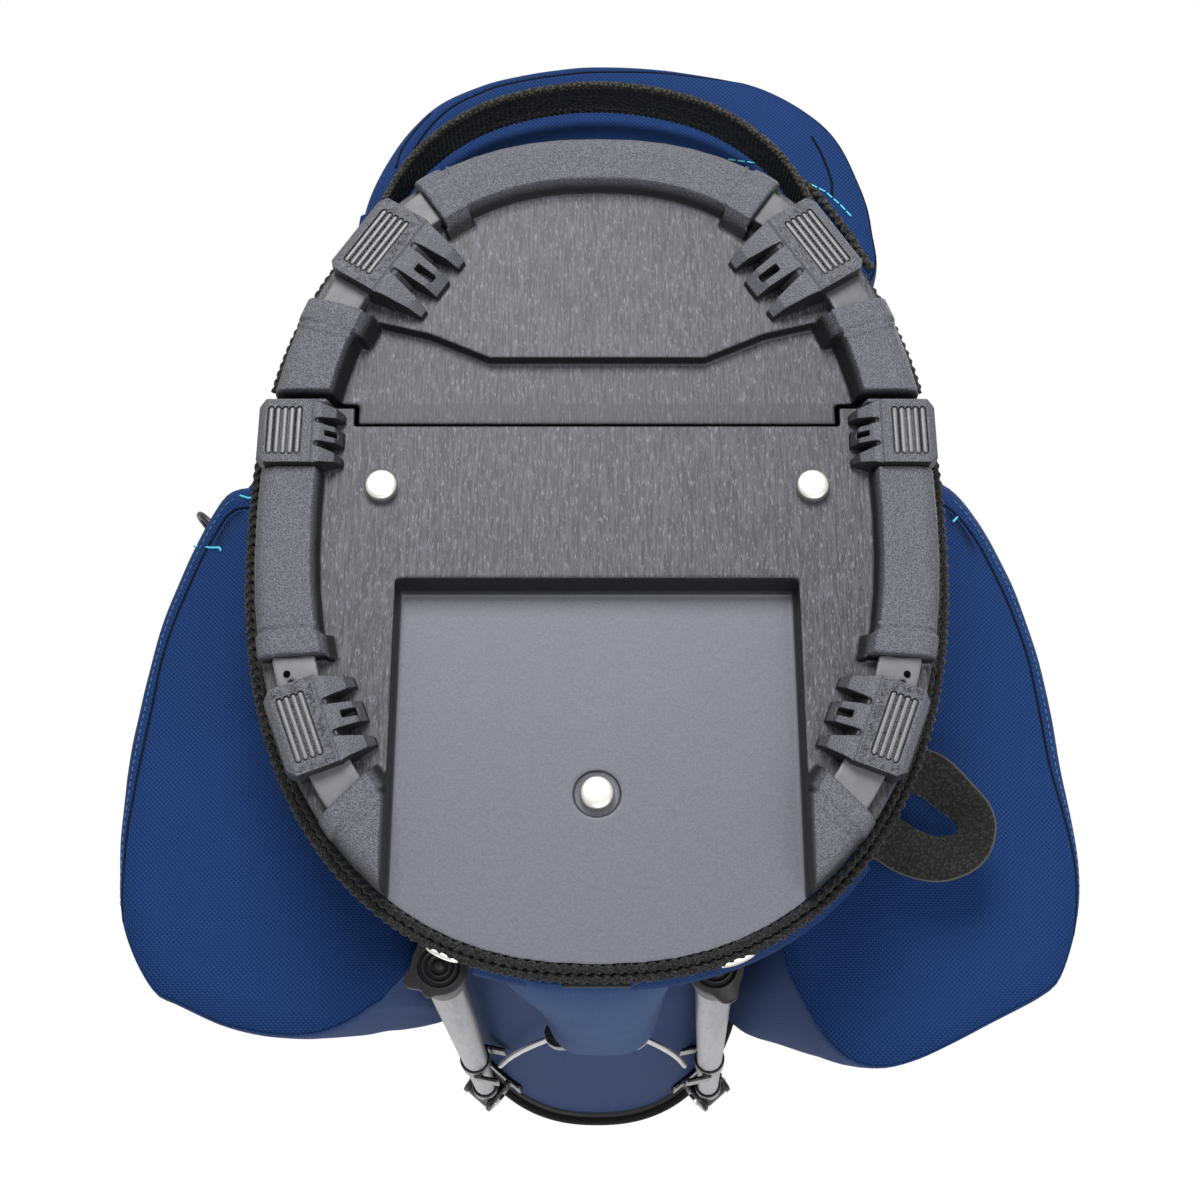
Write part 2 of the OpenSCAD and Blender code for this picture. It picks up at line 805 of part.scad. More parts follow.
module zip_tape(length) {
  translate([0.3, -zip_w / 2, 0]) cube([1.2, zip_w, length]);
  translate([1.5, -1.6, 2]) cube([1, 3.2, length - 4]);
}

module pocket_zips() color("black") {
  mirrored() translate([zip_x, zip_y, zip_low]) rotate(zip_turn) zip_tape(zip_len);
  translate([rear_zip_x, rear_zip_y, zip_low - 40]) rotate(rear_zip_turn) zip_tape(rear_zip_len);
}

// Slider body with its pull tab hanging down
module zip_slider() {
  translate([2.8, -3.5, 6]) cube([3, 7, 10]);
  translate([5.8, -1, 9]) cube([1.6, 2, 5]);
  translate([7.4, 0, -14]) rotate([0, 90, 0]) linear_extrude(1.4) difference() {
    hull() {
      translate([-26, 0]) circle(d = 5);
      circle(d = 9);
    }
    translate([-25.5, 0]) circle(d = 2.4);
  }
}

module side_zip_slider(side) color("dimgray")
  on_side(side) translate([zip_x, zip_y, zip_low + 4]) rotate(zip_turn) zip_slider();

module zip_slider_rear() color("dimgray")
  translate([rear_zip_x, rear_zip_y, zip_low - 36]) rotate(rear_zip_turn) zip_slider();

// --------------------------------------------------------- webbing and strap

handle_z = 41;
handle_web_w = 18;
handle_web_t = 2.6;

// Black webbing arch behind the base, to lift the bag's foot
module lift_handle() color("black")
  sweep(smooth_path([for (place = [[93.7, 120], [90, 146], [74, 176], [44, 199], [0, 209],
                                   [-44, 199], [-74, 176], [-90, 146], [-93.7, 120]])
                      [place[0] * wide, place[1] * deep, handle_z]], 4),
        flat_section(handle_web_w, handle_web_t), [0, 1, 0.001]);

// Towel loop sewn to the left side of the body
module webbing_loop() color("black")
  sweep(smooth_path([for (place = [[-121, -84, 88], [-131, -86, 74], [-144, -94, 63],
                                   [-149, -107, 59], [-141, -120, 60], [-124, -127, 66],
                                   [-112, -122, 77], [-109, -112, 90]])
                      [place[0] * wide, place[1] * deep, place[2]]], 4),
        flat_section(20, web_t), [0.3, 0.3, 0.9]);

// Rear face of the body at a height
function body_rear(z) = lookup(z, [for (level = body_levels) [level[0], level[2] + level[3]]]);

strap_low = 464 * tall;
strap_high = 822 * tall;
web_t = 2.4;
strap_points = concat(
  [[0, body_rear(strap_low) + web_t / 2 + soft_gap, strap_low]],
  [for (place = [[27, 512], [46, 590], [50, 680], [40, 758]])
    [0, body_rear(place[1] * tall) + place[0], place[1] * tall]],
  [[0, body_rear(strap_high) + web_t / 2 + soft_gap, strap_high]]);

module strap_webbing() color("black")
  sweep(smooth_path(strap_points, 4), flat_section(38, web_t), [0, 1, 0.2]);

// Padded part of the shoulder strap, round the webbing
module strap_pad() color("midnightblue")
  difference() {
    sweep(smooth_path([for (i = [1 : 4]) strap_points[i]], 4), flat_section(62, 14), [0, 1, 0.2]);
    sweep(smooth_path(strap_points, 4), flat_section(38 + 2 * seat, web_t + 2 * seat), [0, 1, 0.2]);
  }

// Ladder buckles against the body, with the webbing passing through
module strap_buckles() color("black")
  for (z = [max(strap_low, rear_top + 34) + 12, strap_high - 12])
    translate([-26, body_rear(z) + soft_gap, z - 9]) difference() {
      cube([52, 16, 18]);
      translate([6, 3, -1]) cube([40, 10, 20]);
      translate([6, -1, 5]) cube([40, 30, 8]);
    }

// Small ring on a tab at the right pocket's rear edge
ring_place = [side_centre[0] + 43, side_centre[1] + 112 * deep, 128];

module side_ring() color("black")
  translate(ring_place) rotate([90, 0, 45]) {
    rotate_extrude() translate([8, 0]) circle(d = 3);
    translate([-13, 0, 0]) cube([12, 9, web_t], center = true);
  }

// ------------------------------------------------------------- push rod

guide_t = 12;
guide_low_z = 122;
guide_high_z = 216;
shoe_r = 4;
shoe_z = rod_seat_z + shoe_r + soft_gap;
collar_on_rod_z = 150;
spring_low = collar_on_rod_z + 5;

// Guides on the front of the body, bored for the rod
module rod_guides() color("dimgray")
  for (z = [guide_low_z, guide_high_z])
    difference() {
      translate([-11, rod_y - 7, z]) cube([22, 20, guide_t]);
      translate([0, rod_y, z - 1]) cylinder(d = rod_d + 2 * run, h = guide_t + 2);
      body_solid(-seat);
    }

// Coil spring that pushes the rod down and the legs home
spring_turns = 7;
spring_wire_d = 1.6;
spring_r = rod_d / 2 + 1.8;

module return_spring() color("silver")
  translate([0, rod_y, 0]) {
    length = guide_high_z - spring_low - spring_wire_d - 2 * seat;
    steps = spring_turns * 10;
    sweep([for (i = [0 : steps])
      [spring_r * cos(360 * i * spring_turns / steps), spring_r * sin(360 * i * spring_turns / steps),
       spring_low + spring_wire_d / 2 + seat + length * i / steps]],
      round_section(spring_wire_d / 2, 6), [0, 0, 1]);
  }

// Rod with its rounded shoe on the foot plate and the spring's collar
module push_rod() color("silver") {
  translate([0, rod_y, shoe_z]) cylinder(d = rod_d, h = yoke_z - 12 - shoe_z);
  translate([-10, rod_y, shoe_z]) rotate([0, 90, 0]) cylinder(r = shoe_r, h = 20);
  translate([0, rod_y, collar_on_rod_z]) cylinder(d = rod_d + 7, h = 5);
}

socket_x = 18;
ball_r = 4;

// Yoke on the rod's top, with a ball socket at each end for the wires
module yoke() color("dimgray")
  difference() {
    union() {
      hull() for (x = [-socket_x, socket_x])
        translate([x, rod_y, yoke_z]) cylinder(r = 6.5, h = 12, center = true);
      translate([0, rod_y, yoke_z - 12 + seat]) cylinder(d = rod_d + 5, h = 8);
    }
    translate([0, rod_y, yoke_z - 13]) cylinder(d = rod_d + 0.4, h = 1 + seat);
    for (x = [-socket_x, socket_x]) translate([x, rod_y, yoke_z]) {
      sphere(r = ball_r + run);
      // flare that lets the wire swing out and up
      rotate([0, x > 0 ? 28 : -28, 0]) cylinder(r1 = 2.4, r2 = 12, h = 14);
      rotate([0, x > 0 ? 8 : -8, 0]) cylinder(r1 = 2.4, r2 = 8, h = 12);
    }
  }

// Stretch fabric tent over the rod, open at the sides where the wires pass
cover_low = 104;
cover_tip = yoke_z + 110;

module cover_form(inset) {
  back = rod_y + 30;
  front = [[cover_low - inset, 36, rod_y - 16], [yoke_z, 25, rod_y - 15],
           [yoke_z + 70, 19, rod_y - 14], [cover_tip - 3 * inset, 8, rod_y - 8]];
  hull() for (row = [front[0], front[1]])
    translate([0, 0, row[0]]) linear_extrude(0.1)
      polygon([[-row[1] + inset, back], [-row[1] * 0.55, row[2] + inset],
               [row[1] * 0.55, row[2] + inset], [row[1] - inset, back]]);
  hull() for (row = [front[1], front[2]])
    translate([0, 0, row[0]]) linear_extrude(0.1)
      polygon([[-row[1] + inset, back], [-row[1] * 0.55, row[2] + inset],
               [row[1] * 0.55, row[2] + inset], [row[1] - inset, back]]);
  hull() for (row = [front[2], front[3]])
    translate([0, 0, row[0]]) linear_extrude(0.1)
      polygon([[-row[1] + inset / 2, back], [-row[1] * 0.55, row[2] + inset],
               [row[1] * 0.55, row[2] + inset], [row[1] - inset / 2, back]]);
}

module rod_cover() color("steelblue")
  difference() {
    cover_form(0);
    cover_form(2);
    body_solid(-soft_gap, -10, 10);
    // side slots for the yoke and its wires
    for (side = [-1, 1])
      translate([side * 60, rod_y + 9, yoke_z + 34]) cube([103, 37, 108], center = true);
  }

tab_x = 51 * wide;

// Small nickel tabs on the foot plate's rim, under the feet
module foot_tabs() color("gainsboro")
  mirrored() translate([tab_x, 0, rim_z + seat]) {
    y = -base_half_d * pow(1 - pow(tab_x / base_half_w, oval_power), 1 / oval_power);
    translate([-10, y + 1, 0]) cube([20, 6, 1.2]);
    translate([-10, y - 5, 3.4]) cube([20, 6, 1.2]);
    translate([-10, y + 0.2, 0]) cube([20, 1.4, 4.6]);
  }

// ------------------------------------------------------------------- legs

pivot_turn = 40;                    // the pivots' turn, so that the legs splay
leg_head_r = 11;
leg_head_w = 17;
ear_t = 4;

function pivot(side) = [side * pivot_x * wide, pivot_y * deep, pivot_z * tall];
function foot(side) =
  [(side > 0 ? right_foot_x : left_foot_x) * wide, 3 - base_half_d, foot_z];
function leg_way(side) = unit(foot(side) - pivot(side));
function leg_len(side) = norm(foot(side) - pivot(side));
wire_offset = 15;
// Where the wire ends, beside the leg
function wire_end(side) =
  pivot(side) + leg_way(side) * wire_on_leg + [-side * wire_offset, -3, 0];

// Turns and moves its children from +Z to run along a way from a point
module along(from, way) {
  translate(from) rotate([0, acos(way[2]), atan2(way[1], way[0])]) children();
}

// Turns its children to a pivot: X along the pin
module at_pivot(side) {
  translate(pivot(side)) rotate(side * pivot_turn) children();
}

module leg_bracket(side) color("black")
  difference() {
    at_pivot(side) difference() {
      union() {
        for (x = [-1, 1])
          translate([x * (leg_head_w / 2 + 0.4 + ear_t / 2), 0, 0]) {
            rotate([0, 90, 0]) cylinder(r = 12, h = ear_t, center = true);
            translate([-ear_t / 2, 0, -12]) cube([ear_t, 30, 24]);
          }
        translate([-21, 14, -20]) cube([42, 22, 40]);
      }
      rotate([0, 90, 0]) cylinder(d = leg_pin_d, h = 60, center = true);
    }
    body_solid(-soft_gap, 0, 40);
  }

module leg_pins() color("silver")
  for (side = [-1, 1])
    at_pivot(side) {
      pin_half = leg_head_w / 2 + 0.4 + ear_t;
      rotate([0, 90, 0]) cylinder(d = leg_pin_d, h = 2 * pin_half, center = true);
      for (x = [-1, 1])
        translate([x * (pin_half + 0.9), 0, 0]) rotate([0, 90, 0])
          cylinder(d = leg_pin_d + 4, h = 1.8 - 2 * seat, center = true);
    }

head_len = 46;

module leg_head(side) color("black")
  difference() {
    union() {
      at_pivot(side) rotate([0, 90, 0]) cylinder(r = leg_head_r, h = leg_head_w, center = true);
      along(pivot(side), leg_way(side)) cylinder(d = leg_d + 4, h = head_len);
    }
    at_pivot(side) rotate([0, 90, 0])
      cylinder(d = leg_pin_d + 2 * run, h = 60, center = true);
    along(pivot(side), leg_way(side)) translate([0, 0, 18]) cylinder(d = leg_d, h = head_len);
    // flats that let the head pass between the ears
    at_pivot(side) for (x = [-1, 1])
      translate([x * (leg_head_w / 2 + 10), 0, 0]) cube([20, 60, 36], center = true);
  }

module leg_tube(side) color("silver")
  along(pivot(side), leg_way(side)) translate([0, 0, 18 + seat]) difference() {
    cylinder(d = leg_d, h = leg_len(side) - 18 - 10);
    translate([0, 0, -1]) cylinder(d = leg_d - 2.4, h = leg_len(side));
  }

// Rubber foot: a cup on the tube, with a lobed flange and stepped rings below
module leg_foot(side) color("black")
  along(foot(side), leg_way(side)) {
    difference() {
      translate([0, 0, -34]) cylinder(d1 = leg_d + 3, d2 = leg_d + 6, h = 34);
      translate([0, 0, -35]) cylinder(d = leg_d, h = 25 + seat);
    }
    for (k = [0 : 5])
      rotate(60 * k + 12) translate([10, 0, -5]) cylinder(d = 7, h = 5);
    cylinder(d1 = 22, d2 = 20, h = 1.5);
    translate([0, 0, 1.5]) cylinder(d = 15, h = 1);
    translate([0, 0, 2.5]) cylinder(d = 9.5, h = 1);
    translate([0, 0, 3.5]) cylinder(d = 4.5, h = 0.8);
  }

slot_len = 30;
slot_gap = 16;

// Slotted guide clamped on the leg, in which the wire's end slides
module wire_slot(side) color("black") {
  from = pivot(side) + leg_way(side) * wire_on_leg;
  reach = wire_end(side) - from;
  difference() {
    union() {
      along(from, leg_way(side)) cylinder(d = leg_d + 3, h = slot_len + 8, center = true);
      // two cheeks either side of the wire's end
      translate(from) rotate(atan2(reach[1], reach[0])) for (y = [-1, 1])
        translate([wire_offset / 2 + 1, y * (slot_gap + 2.4) / 2, 8])
          cube([wire_offset, 2.4, slot_len - 6], center = true);
    }
    along(from, leg_way(side)) cylinder(d = leg_d + 2 * seat, h = slot_len + 40, center = true);
    body_solid(-soft_gap);
  }
}

// Bent spreader wire with a ball in the yoke and an eye in the leg's slot
module wire(side) color("silver") {
  start = [side * socket_x, rod_y, yoke_z];
  end = wire_end(side);
  bend = [end[0] - side * 4, end[1] - 2, (start[2] + end[2]) / 2];
  translate(start) sphere(r = ball_r);
  sweep(smooth_path([start, start + (bend - start) * 0.5 + [side * 2, 0, 0], bend,
                     bend + (end - bend) * 0.5, end], 4),
        round_section(wire_d / 2), [0, 1, 0]);
  translate(end) sphere(r = wire_d / 2 + 0.4);
}

// ------------------------------------------------------------------- parts

base_tray();
rear_clip(-1);  // rear_clip_left
rear_clip(1);  // rear_clip_right
rear_rails();
rear_grip_ribs();
rear_hinge_blocks();
hinge_pin();
rear_welt();
lift_handle();
inner_floor();
body_tube();
stays();
top_collar();
collar_dividers();
collar_handle();
leg_bracket(-1);  // leg_bracket_left
leg_bracket(1);  // leg_bracket_right
leg_pins();
rod_guides();
return_spring();
side_pocket(-1);  // side_pocket_left
side_pocket(1);  // side_pocket_right
rear_pocket();
rod_cover();
bellows();
pocket_zips();
strap_webbing();
strap_pad();
strap_buckles();
webbing_loop();
side_ring();
foot_plate();
plate_hinge_blocks();
mid_clip(-1);  // mid_clip_left
mid_clip(1);  // mid_clip_right
front_clip(-1);  // front_clip_left
front_clip(1);  // front_clip_right
front_rails();
plate_grip_ribs();
base_studs();
front_welt();
foot_tabs();
push_rod();
yoke();
wire(-1);  // wire_left
wire(1);  // wire_right
leg_head(-1);  // leg_head_left
leg_head(1);  // leg_head_right
leg_tube(-1);  // leg_tube_left
leg_tube(1);  // leg_tube_right
leg_foot(-1);  // leg_foot_left
leg_foot(1);  // leg_foot_right
wire_slot(-1);  // wire_slot_left
wire_slot(1);  // wire_slot_right
side_zip_slider(-1);  // zip_slider_left
side_zip_slider(1);  // zip_slider_right
zip_slider_rear();
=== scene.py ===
from math import cos, pi, radians, sin

import bmesh
import bpy
from mathutils import Matrix, Vector, noise


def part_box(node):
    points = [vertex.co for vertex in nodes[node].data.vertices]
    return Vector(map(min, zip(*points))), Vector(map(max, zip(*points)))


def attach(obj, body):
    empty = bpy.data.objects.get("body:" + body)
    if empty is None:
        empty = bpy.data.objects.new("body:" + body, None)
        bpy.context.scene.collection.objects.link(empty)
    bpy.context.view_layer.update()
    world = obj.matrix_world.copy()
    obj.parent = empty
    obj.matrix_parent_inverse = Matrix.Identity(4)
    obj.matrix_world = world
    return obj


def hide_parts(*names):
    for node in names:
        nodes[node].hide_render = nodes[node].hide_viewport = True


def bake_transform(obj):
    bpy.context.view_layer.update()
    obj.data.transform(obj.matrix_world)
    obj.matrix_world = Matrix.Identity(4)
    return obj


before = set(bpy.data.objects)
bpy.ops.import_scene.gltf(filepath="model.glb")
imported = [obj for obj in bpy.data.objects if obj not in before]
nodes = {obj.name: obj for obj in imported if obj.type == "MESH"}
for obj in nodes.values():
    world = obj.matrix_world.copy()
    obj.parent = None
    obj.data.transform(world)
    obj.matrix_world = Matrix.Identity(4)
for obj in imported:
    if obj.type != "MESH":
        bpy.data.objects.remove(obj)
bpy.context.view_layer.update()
mm = 0.001

# ---------------------------------------------------------------- the studio
# The bag stands on a pale floor and is looked at from below and in front, so the
# floor shows from above only. Soft lamps light the underside and the body alike.

looking = Vector((0, 0.3584, 0.9336))
upward = Vector((0, 0.9336, -0.3584))
camera_place = Vector((0, -0.2592, -0.5758))
camera = bpy.data.objects.new("camera", bpy.data.cameras.new("camera"))
bpy.context.scene.collection.objects.link(camera)
camera.matrix_world = (Matrix.Translation(camera_place)
                       @ Matrix(((-1, 0, 0), upward, -looking)).transposed().to_4x4())
camera.data.sensor_width = 36
camera.data.lens = 51.72
camera.data.shift_x = 0.0025
camera.data.clip_end = 20
bpy.context.scene.camera = camera


def softbox(name, place, aim, width, watts):
    """A square lamp at a place, turned to a point."""
    light = bpy.data.lights.new(name, "AREA")
    light.size = width
    light.energy = watts
    box = bpy.data.objects.new(name, light)
    bpy.context.scene.collection.objects.link(box)
    box.location = place
    box.rotation_euler = (Vector(aim) - Vector(place)).to_track_quat("-Z", "Y").to_euler()


# two under the base, over the camera's head and low, and two round the standing bag
softbox("lamp_base_key", (0.1, 0.75, -1.15), (0, -0.02, 0), 0.7, 22.5)
softbox("lamp_base_fill", (-0.45, -0.85, -0.95), (0, 0, 0.2), 0.9, 11)
softbox("lamp_front", (0.9, -1.9, 1.5), (0, 0, 0.45), 1.2, 12)
softbox("lamp_rear", (-1.3, 1.7, 1.6), (0, 0, 0.45), 1.2, 13)


def node_adder(web):
    """A short way to add nodes to a tree, with their inputs set or linked by name or number."""
    def add(kind, settings=None, **inputs):
        node = web.nodes.new("ShaderNode" + kind)
        for key, value in (settings or {}).items():
            setattr(node, key, value)
        for key, value in inputs.items():
            socket = node.inputs[int(key[1:]) if key[0] == "_" else key.replace("_", " ")]
            if isinstance(value, bpy.types.NodeSocket):
                web.links.new(value, socket)
            else:
                socket.default_value = value
        return node
    return add


def maths(add, operation, *values):
    return add("Math", {"operation": operation},
               **{f"_{i}": value for i, value in enumerate(values)}).outputs[0]


def emptied(owner):
    """A new world or material with no nodes, and its adder."""
    owner.use_nodes = True
    owner.node_tree.nodes.clear()
    return owner, node_adder(owner.node_tree)


# white where it is looked at or mirrored, and a softer white where it lights
world, add = emptied(bpy.data.worlds.new("studio"))
bpy.context.scene.world = world
rays = add("LightPath").outputs
seen = maths(add, "MAXIMUM", rays["Is Camera Ray"], rays["Is Glossy Ray"])
seen = maths(add, "MAXIMUM", seen, rays["Is Transmission Ray"])
soft = add("Background", Color=(0.97, 0.98, 1, 1), Strength=0.32).outputs[0]
white = add("Background", Color=(1, 1, 1, 1), Strength=1.0).outputs[0]
add("OutputWorld", Surface=add("MixShader", Fac=seen, _1=soft, _2=white).outputs[0])

floor_mesh = bpy.data.meshes.new("floor")
half_floor = 6
floor_mesh.from_pydata([(x * half_floor, y * half_floor, 0)
                        for x, y in ((-1, -1), (1, -1), (1, 1), (-1, 1))], [], [(0, 1, 2, 3)])
floor = bpy.data.objects.new("floor", floor_mesh)
bpy.context.scene.collection.objects.link(floor)
pale, add = emptied(bpy.data.materials.new("pale_floor"))
top = add("BsdfPrincipled", Base_Color=(0.8, 0.8, 0.8, 1), Roughness=0.9).outputs[0]
under = add("BsdfTransparent").outputs[0]
from_below = add("NewGeometry").outputs["Backfacing"]
add("OutputMaterial", Surface=add("MixShader", Fac=from_below, _1=top, _2=under).outputs[0])
floor_mesh.materials.append(pale)
floor.visible_shadow = False
floor.visible_diffuse = False
floor.visible_glossy = False

# ------------------------------------------------------------- moulded base
# The base is injection-moulded nylon in two halves. Its raised ring has a leather
# grain, the floors are brushed in the tool, and every edge has a moulder's radius.


def shader(name, **values):
    """A new material, with a short way to add nodes and one to link them to its shader."""
    material = bpy.data.materials.new(name)
    material.use_nodes = True
    web = material.node_tree
    surface = web.nodes["Principled BSDF"]
    for socket, value in values.items():
        surface.inputs[socket.replace("_", " ")].default_value = value

    def link(source, socket):
        web.links.new(source, surface.inputs[socket])

    return material, node_adder(web), link


def times(add, first, second):
    return maths(add, "MULTIPLY", first, second)


def grey(level):
    """A grey with the faint blue of the base's plastic."""
    return (level, level, level * 1.18, 1)


def blend_colours(add, factor, first, second):
    return add("Mix", {"data_type": "RGBA"}, _0=factor, _6=first, _7=second).outputs[2]


def band(add, value, low, high):
    """0 below low and 1 above high, with a smooth change between."""
    return add("MapRange", {"interpolation_type": "SMOOTHSTEP"}, Value=value,
               From_Min=low, From_Max=high, To_Min=0.0, To_Max=1.0).outputs[0]


def level_ground(add, low, high):
    """1 where a surface lies level and 0 where it stands upright."""
    up = add("SeparateXYZ", Vector=add("NewGeometry").outputs["Normal"]).outputs[2]
    return band(add, maths(add, "ABSOLUTE", up), low, high)


def cloudy(add, place, scale, detail, rough=0.5):
    """Smooth noise, mostly from 0.3 to 0.7."""
    return add("TexNoise", Vector=place, Scale=scale, Detail=detail, Roughness=rough).outputs["Fac"]


def base_plastic():
    """Grained on the ring, brushed on the floors, fine and even in the recessed panel; painted shade
    makes the upright walls near black.
    """
    material, add, link = shader("base_plastic", Specular_IOR_Level=0.25)
    # where one finish gives way to another, and where the painted shade of the walls sets in, in
    # metres
    floor_height, panel_height, wall_shade_height = (0.0096, 0.0106), (0.0185, 0.0205), (0.0035, 0.0085)
    panel_rear, panel_side, tongue_start = (-0.019, -0.024), (0.0745, 0.0735), (-0.1652, -0.1664)
    strip_rear, strip_front = (0.0498, 0.0480), (0.0390, 0.0395)
    place = add("TexCoord").outputs["Object"]
    x, y, z = add("SeparateXYZ", Vector=place).outputs[:]
    flat = level_ground(add, 0.62, 0.93)
    on_floor = times(add, band(add, z, *floor_height), flat)
    in_panel = times(add, band(add, z, *panel_height),
                     times(add, band(add, y, *panel_rear),
                           band(add, maths(add, "ABSOLUTE", x), *panel_side)))
    brushed = times(add, on_floor, maths(add, "SUBTRACT", 1.0, in_panel))
    # leather grain: small worn cells
    cells = add("TexVoronoi", {"feature": "F1"}, Vector=place, Scale=1500.0)
    warp = cloudy(add, place, 2000.0, 2.0)
    # brush strokes run front to back, with short bright scratches
    stretched = add("Mapping", Vector=place, Scale=(1.0, 0.07, 1.0))
    strokes = cloudy(add, stretched.outputs[0], 1500.0, 4.0, 0.75)
    flecks = add("Mapping", Vector=place, Scale=(1.0, 0.2, 1.0))
    fleck = cloudy(add, flecks.outputs[0], 1350.0, 2.0, 0.8)
    fine = cloudy(add, place, 1700.0, 2.0)
    clouds = cloudy(add, place, 14.0, 3.0)
    ring_tone = blend_colours(add, band(add, cells.outputs["Distance"], 0.1, 0.7),
                              grey(0.036), grey(0.116))
    light_fleck = band(add, fleck, 0.56, 0.68)
    stroke_tone = blend_colours(add, band(add, strokes, 0.38, 0.64), grey(0.022), grey(0.074))
    stroke_tone = blend_colours(add, times(add, light_fleck, 0.55), stroke_tone, grey(0.22))
    # painted shade: the strip beside the hinge lies low by the step and is darkened
    hinge_strip_shade = times(add, band(add, y, *strip_rear), band(add, y, *strip_front))
    stroke_tone = blend_colours(add, times(add, hinge_strip_shade, 0.45), stroke_tone, grey(0.026))
    panel_tone = blend_colours(add, band(add, fine, 0.3, 0.7), grey(0.112), grey(0.142))
    tone = blend_colours(add, brushed, ring_tone, stroke_tone)
    tone = blend_colours(add, times(add, in_panel, flat), tone, panel_tone)
    tone = blend_colours(add, times(add, band(add, clouds, 0.35, 0.7), 0.08), tone, grey(0.14))
    # painted shade: the upright walls darken with height to near black, and the panel's walls to a
    # dark grey
    deep = blend_colours(add, band(add, z, *wall_shade_height), ring_tone, grey(0.009))
    deep = blend_colours(add, in_panel, deep, grey(0.034))
    tone = blend_colours(add, flat, deep, tone)
    # the tongue under the rod's seat lies in the zip's shade and is left black
    tone = blend_colours(add, band(add, y, *tongue_start), tone, grey(0.006))
    link(tone, "Base Color")
    grain = maths(add, "ADD", cells.outputs["Distance"], times(add, warp, 0.6))
    height = add("Mix", {"data_type": "FLOAT"}, _0=on_floor, _2=grain,
                 _3=times(add, strokes, 0.35)).outputs[0]
    height = add("Mix", {"data_type": "FLOAT"}, _0=in_panel, _2=height,
                 _3=times(add, fine, 0.18)).outputs[0]
    link(add("Bump", Height=height, Strength=0.55, Distance=0.0005).outputs[0], "Normal")
    link(add("MapRange", Value=clouds, To_Min=0.36, To_Max=0.48).outputs[0], "Roughness")
    return material


def paint(piece, material):
    piece.data.materials.clear()
    piece.data.materials.append(material)


def mould(node, body, cell, rounds, keep, material, name=None):
    """Casts a node as a skin with rounded edges, of cells in mm, and keeps a share of its faces."""
    name = name or f"{node}_skin"
    piece = bpy.data.objects.new(name, nodes[node].data.copy())
    bpy.context.scene.collection.objects.link(piece)
    skin = piece.modifiers.new("skin", "REMESH")
    skin.mode = "VOXEL"
    skin.voxel_size = cell * mm
    soften = piece.modifiers.new("soften", "SMOOTH")
    soften.factor = 0.5
    soften.iterations = rounds
    thin = piece.modifiers.new("thin", "DECIMATE")
    thin.ratio = keep
    settle(piece)
    paint(piece, material)
    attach(piece, body)
    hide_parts(node)
    return piece


def settle(piece):
    """Applies a piece's modifiers and shades it smooth."""
    baked = bpy.data.meshes.new_from_object(
        piece.evaluated_get(bpy.context.evaluated_depsgraph_get()))
    piece.modifiers.clear()
    piece.data = baked
    for face in baked.polygons:
        face.use_smooth = True


base_nylon = base_plastic()
for node, body in (("base_tray", "bag"), ("foot_plate", "foot_plate_body")):
    mould(node, body, 0.65, 4, 0.3, base_nylon)

# ------------------------------------------------------- clips, rails, ribs
# Six toothed clips hook over bars under the ring and hold the base to the bag. They
# are moulded in the ring's grained nylon, over smooth paler bars, with light ribs
# that lie in slots of their own for the thumb.


def grained(name, low, high, scale, depth=0.0006, rough=(0.38, 0.52), upright_shade=None):
    """Moulded plastic with a leather grain all over; the last argument, if given, is a darker tone
    painted on its upright sides as shade.
    """
    material, add, link = shader(name, Specular_IOR_Level=0.3)
    place = add("TexCoord").outputs["Object"]
    cells = add("TexVoronoi", {"feature": "F1"}, Vector=place, Scale=scale)
    fine = cloudy(add, place, scale * 1.4, 2.0)
    clouds = cloudy(add, place, 18.0, 3.0)
    tone = blend_colours(add, band(add, cells.outputs["Distance"], 0.1, 0.7), grey(low), grey(high))
    tone = blend_colours(add, times(add, clouds, 0.25), tone, grey(high * 1.5))
    if upright_shade:
        # painted shade: upright sides take the darker tone
        tone = blend_colours(add, level_ground(add, 0.45, 0.85), grey(upright_shade), tone)
    link(tone, "Base Color")
    grain = maths(add, "ADD", cells.outputs["Distance"], times(add, fine, 0.5))
    link(add("Bump", Height=grain, Strength=0.5, Distance=depth).outputs[0], "Normal")
    link(add("MapRange", Value=clouds, To_Min=rough[0], To_Max=rough[1]).outputs[0], "Roughness")
    return material


def polished(name, colour, rough, metal=0.0, streak=(1.0, 1.0, 1.0), scale=160.0, gloss=0.4):
    """Smooth plastic or metal with faint wear, drawn out along one direction."""
    material, add, link = shader(name, Metallic=metal, Specular_IOR_Level=gloss)
    place = add("Mapping", Vector=add("TexCoord").outputs["Object"], Scale=streak)
    wear = cloudy(add, place.outputs[0], scale, 5.0, 0.7)
    tone = blend_colours(add, band(add, wear, 0.3, 0.75),
                         (*colour, 1), (*[min(1, c * 0.82) for c in colour], 1))
    link(tone, "Base Color")
    link(add("MapRange", Value=wear, To_Min=rough * 0.75,
             To_Max=rough * 1.3).outputs[0], "Roughness")
    link(add("Bump", Height=wear, Strength=0.12, Distance=0.0002).outputs[0], "Normal")
    return material


# the clips' upright sides and teeth take a near-black painted shade
clip_plastic = grained("clip_plastic", 0.036, 0.094, scale=1500.0, depth=0.0004, upright_shade=0.012)
rail_tones = {"rear": (0.080, 0.080, 0.090), "front": (0.138, 0.138, 0.152)}
rib_plastic = polished("grip_ribs", (0.17, 0.17, 0.18), 0.34, scale=300.0)

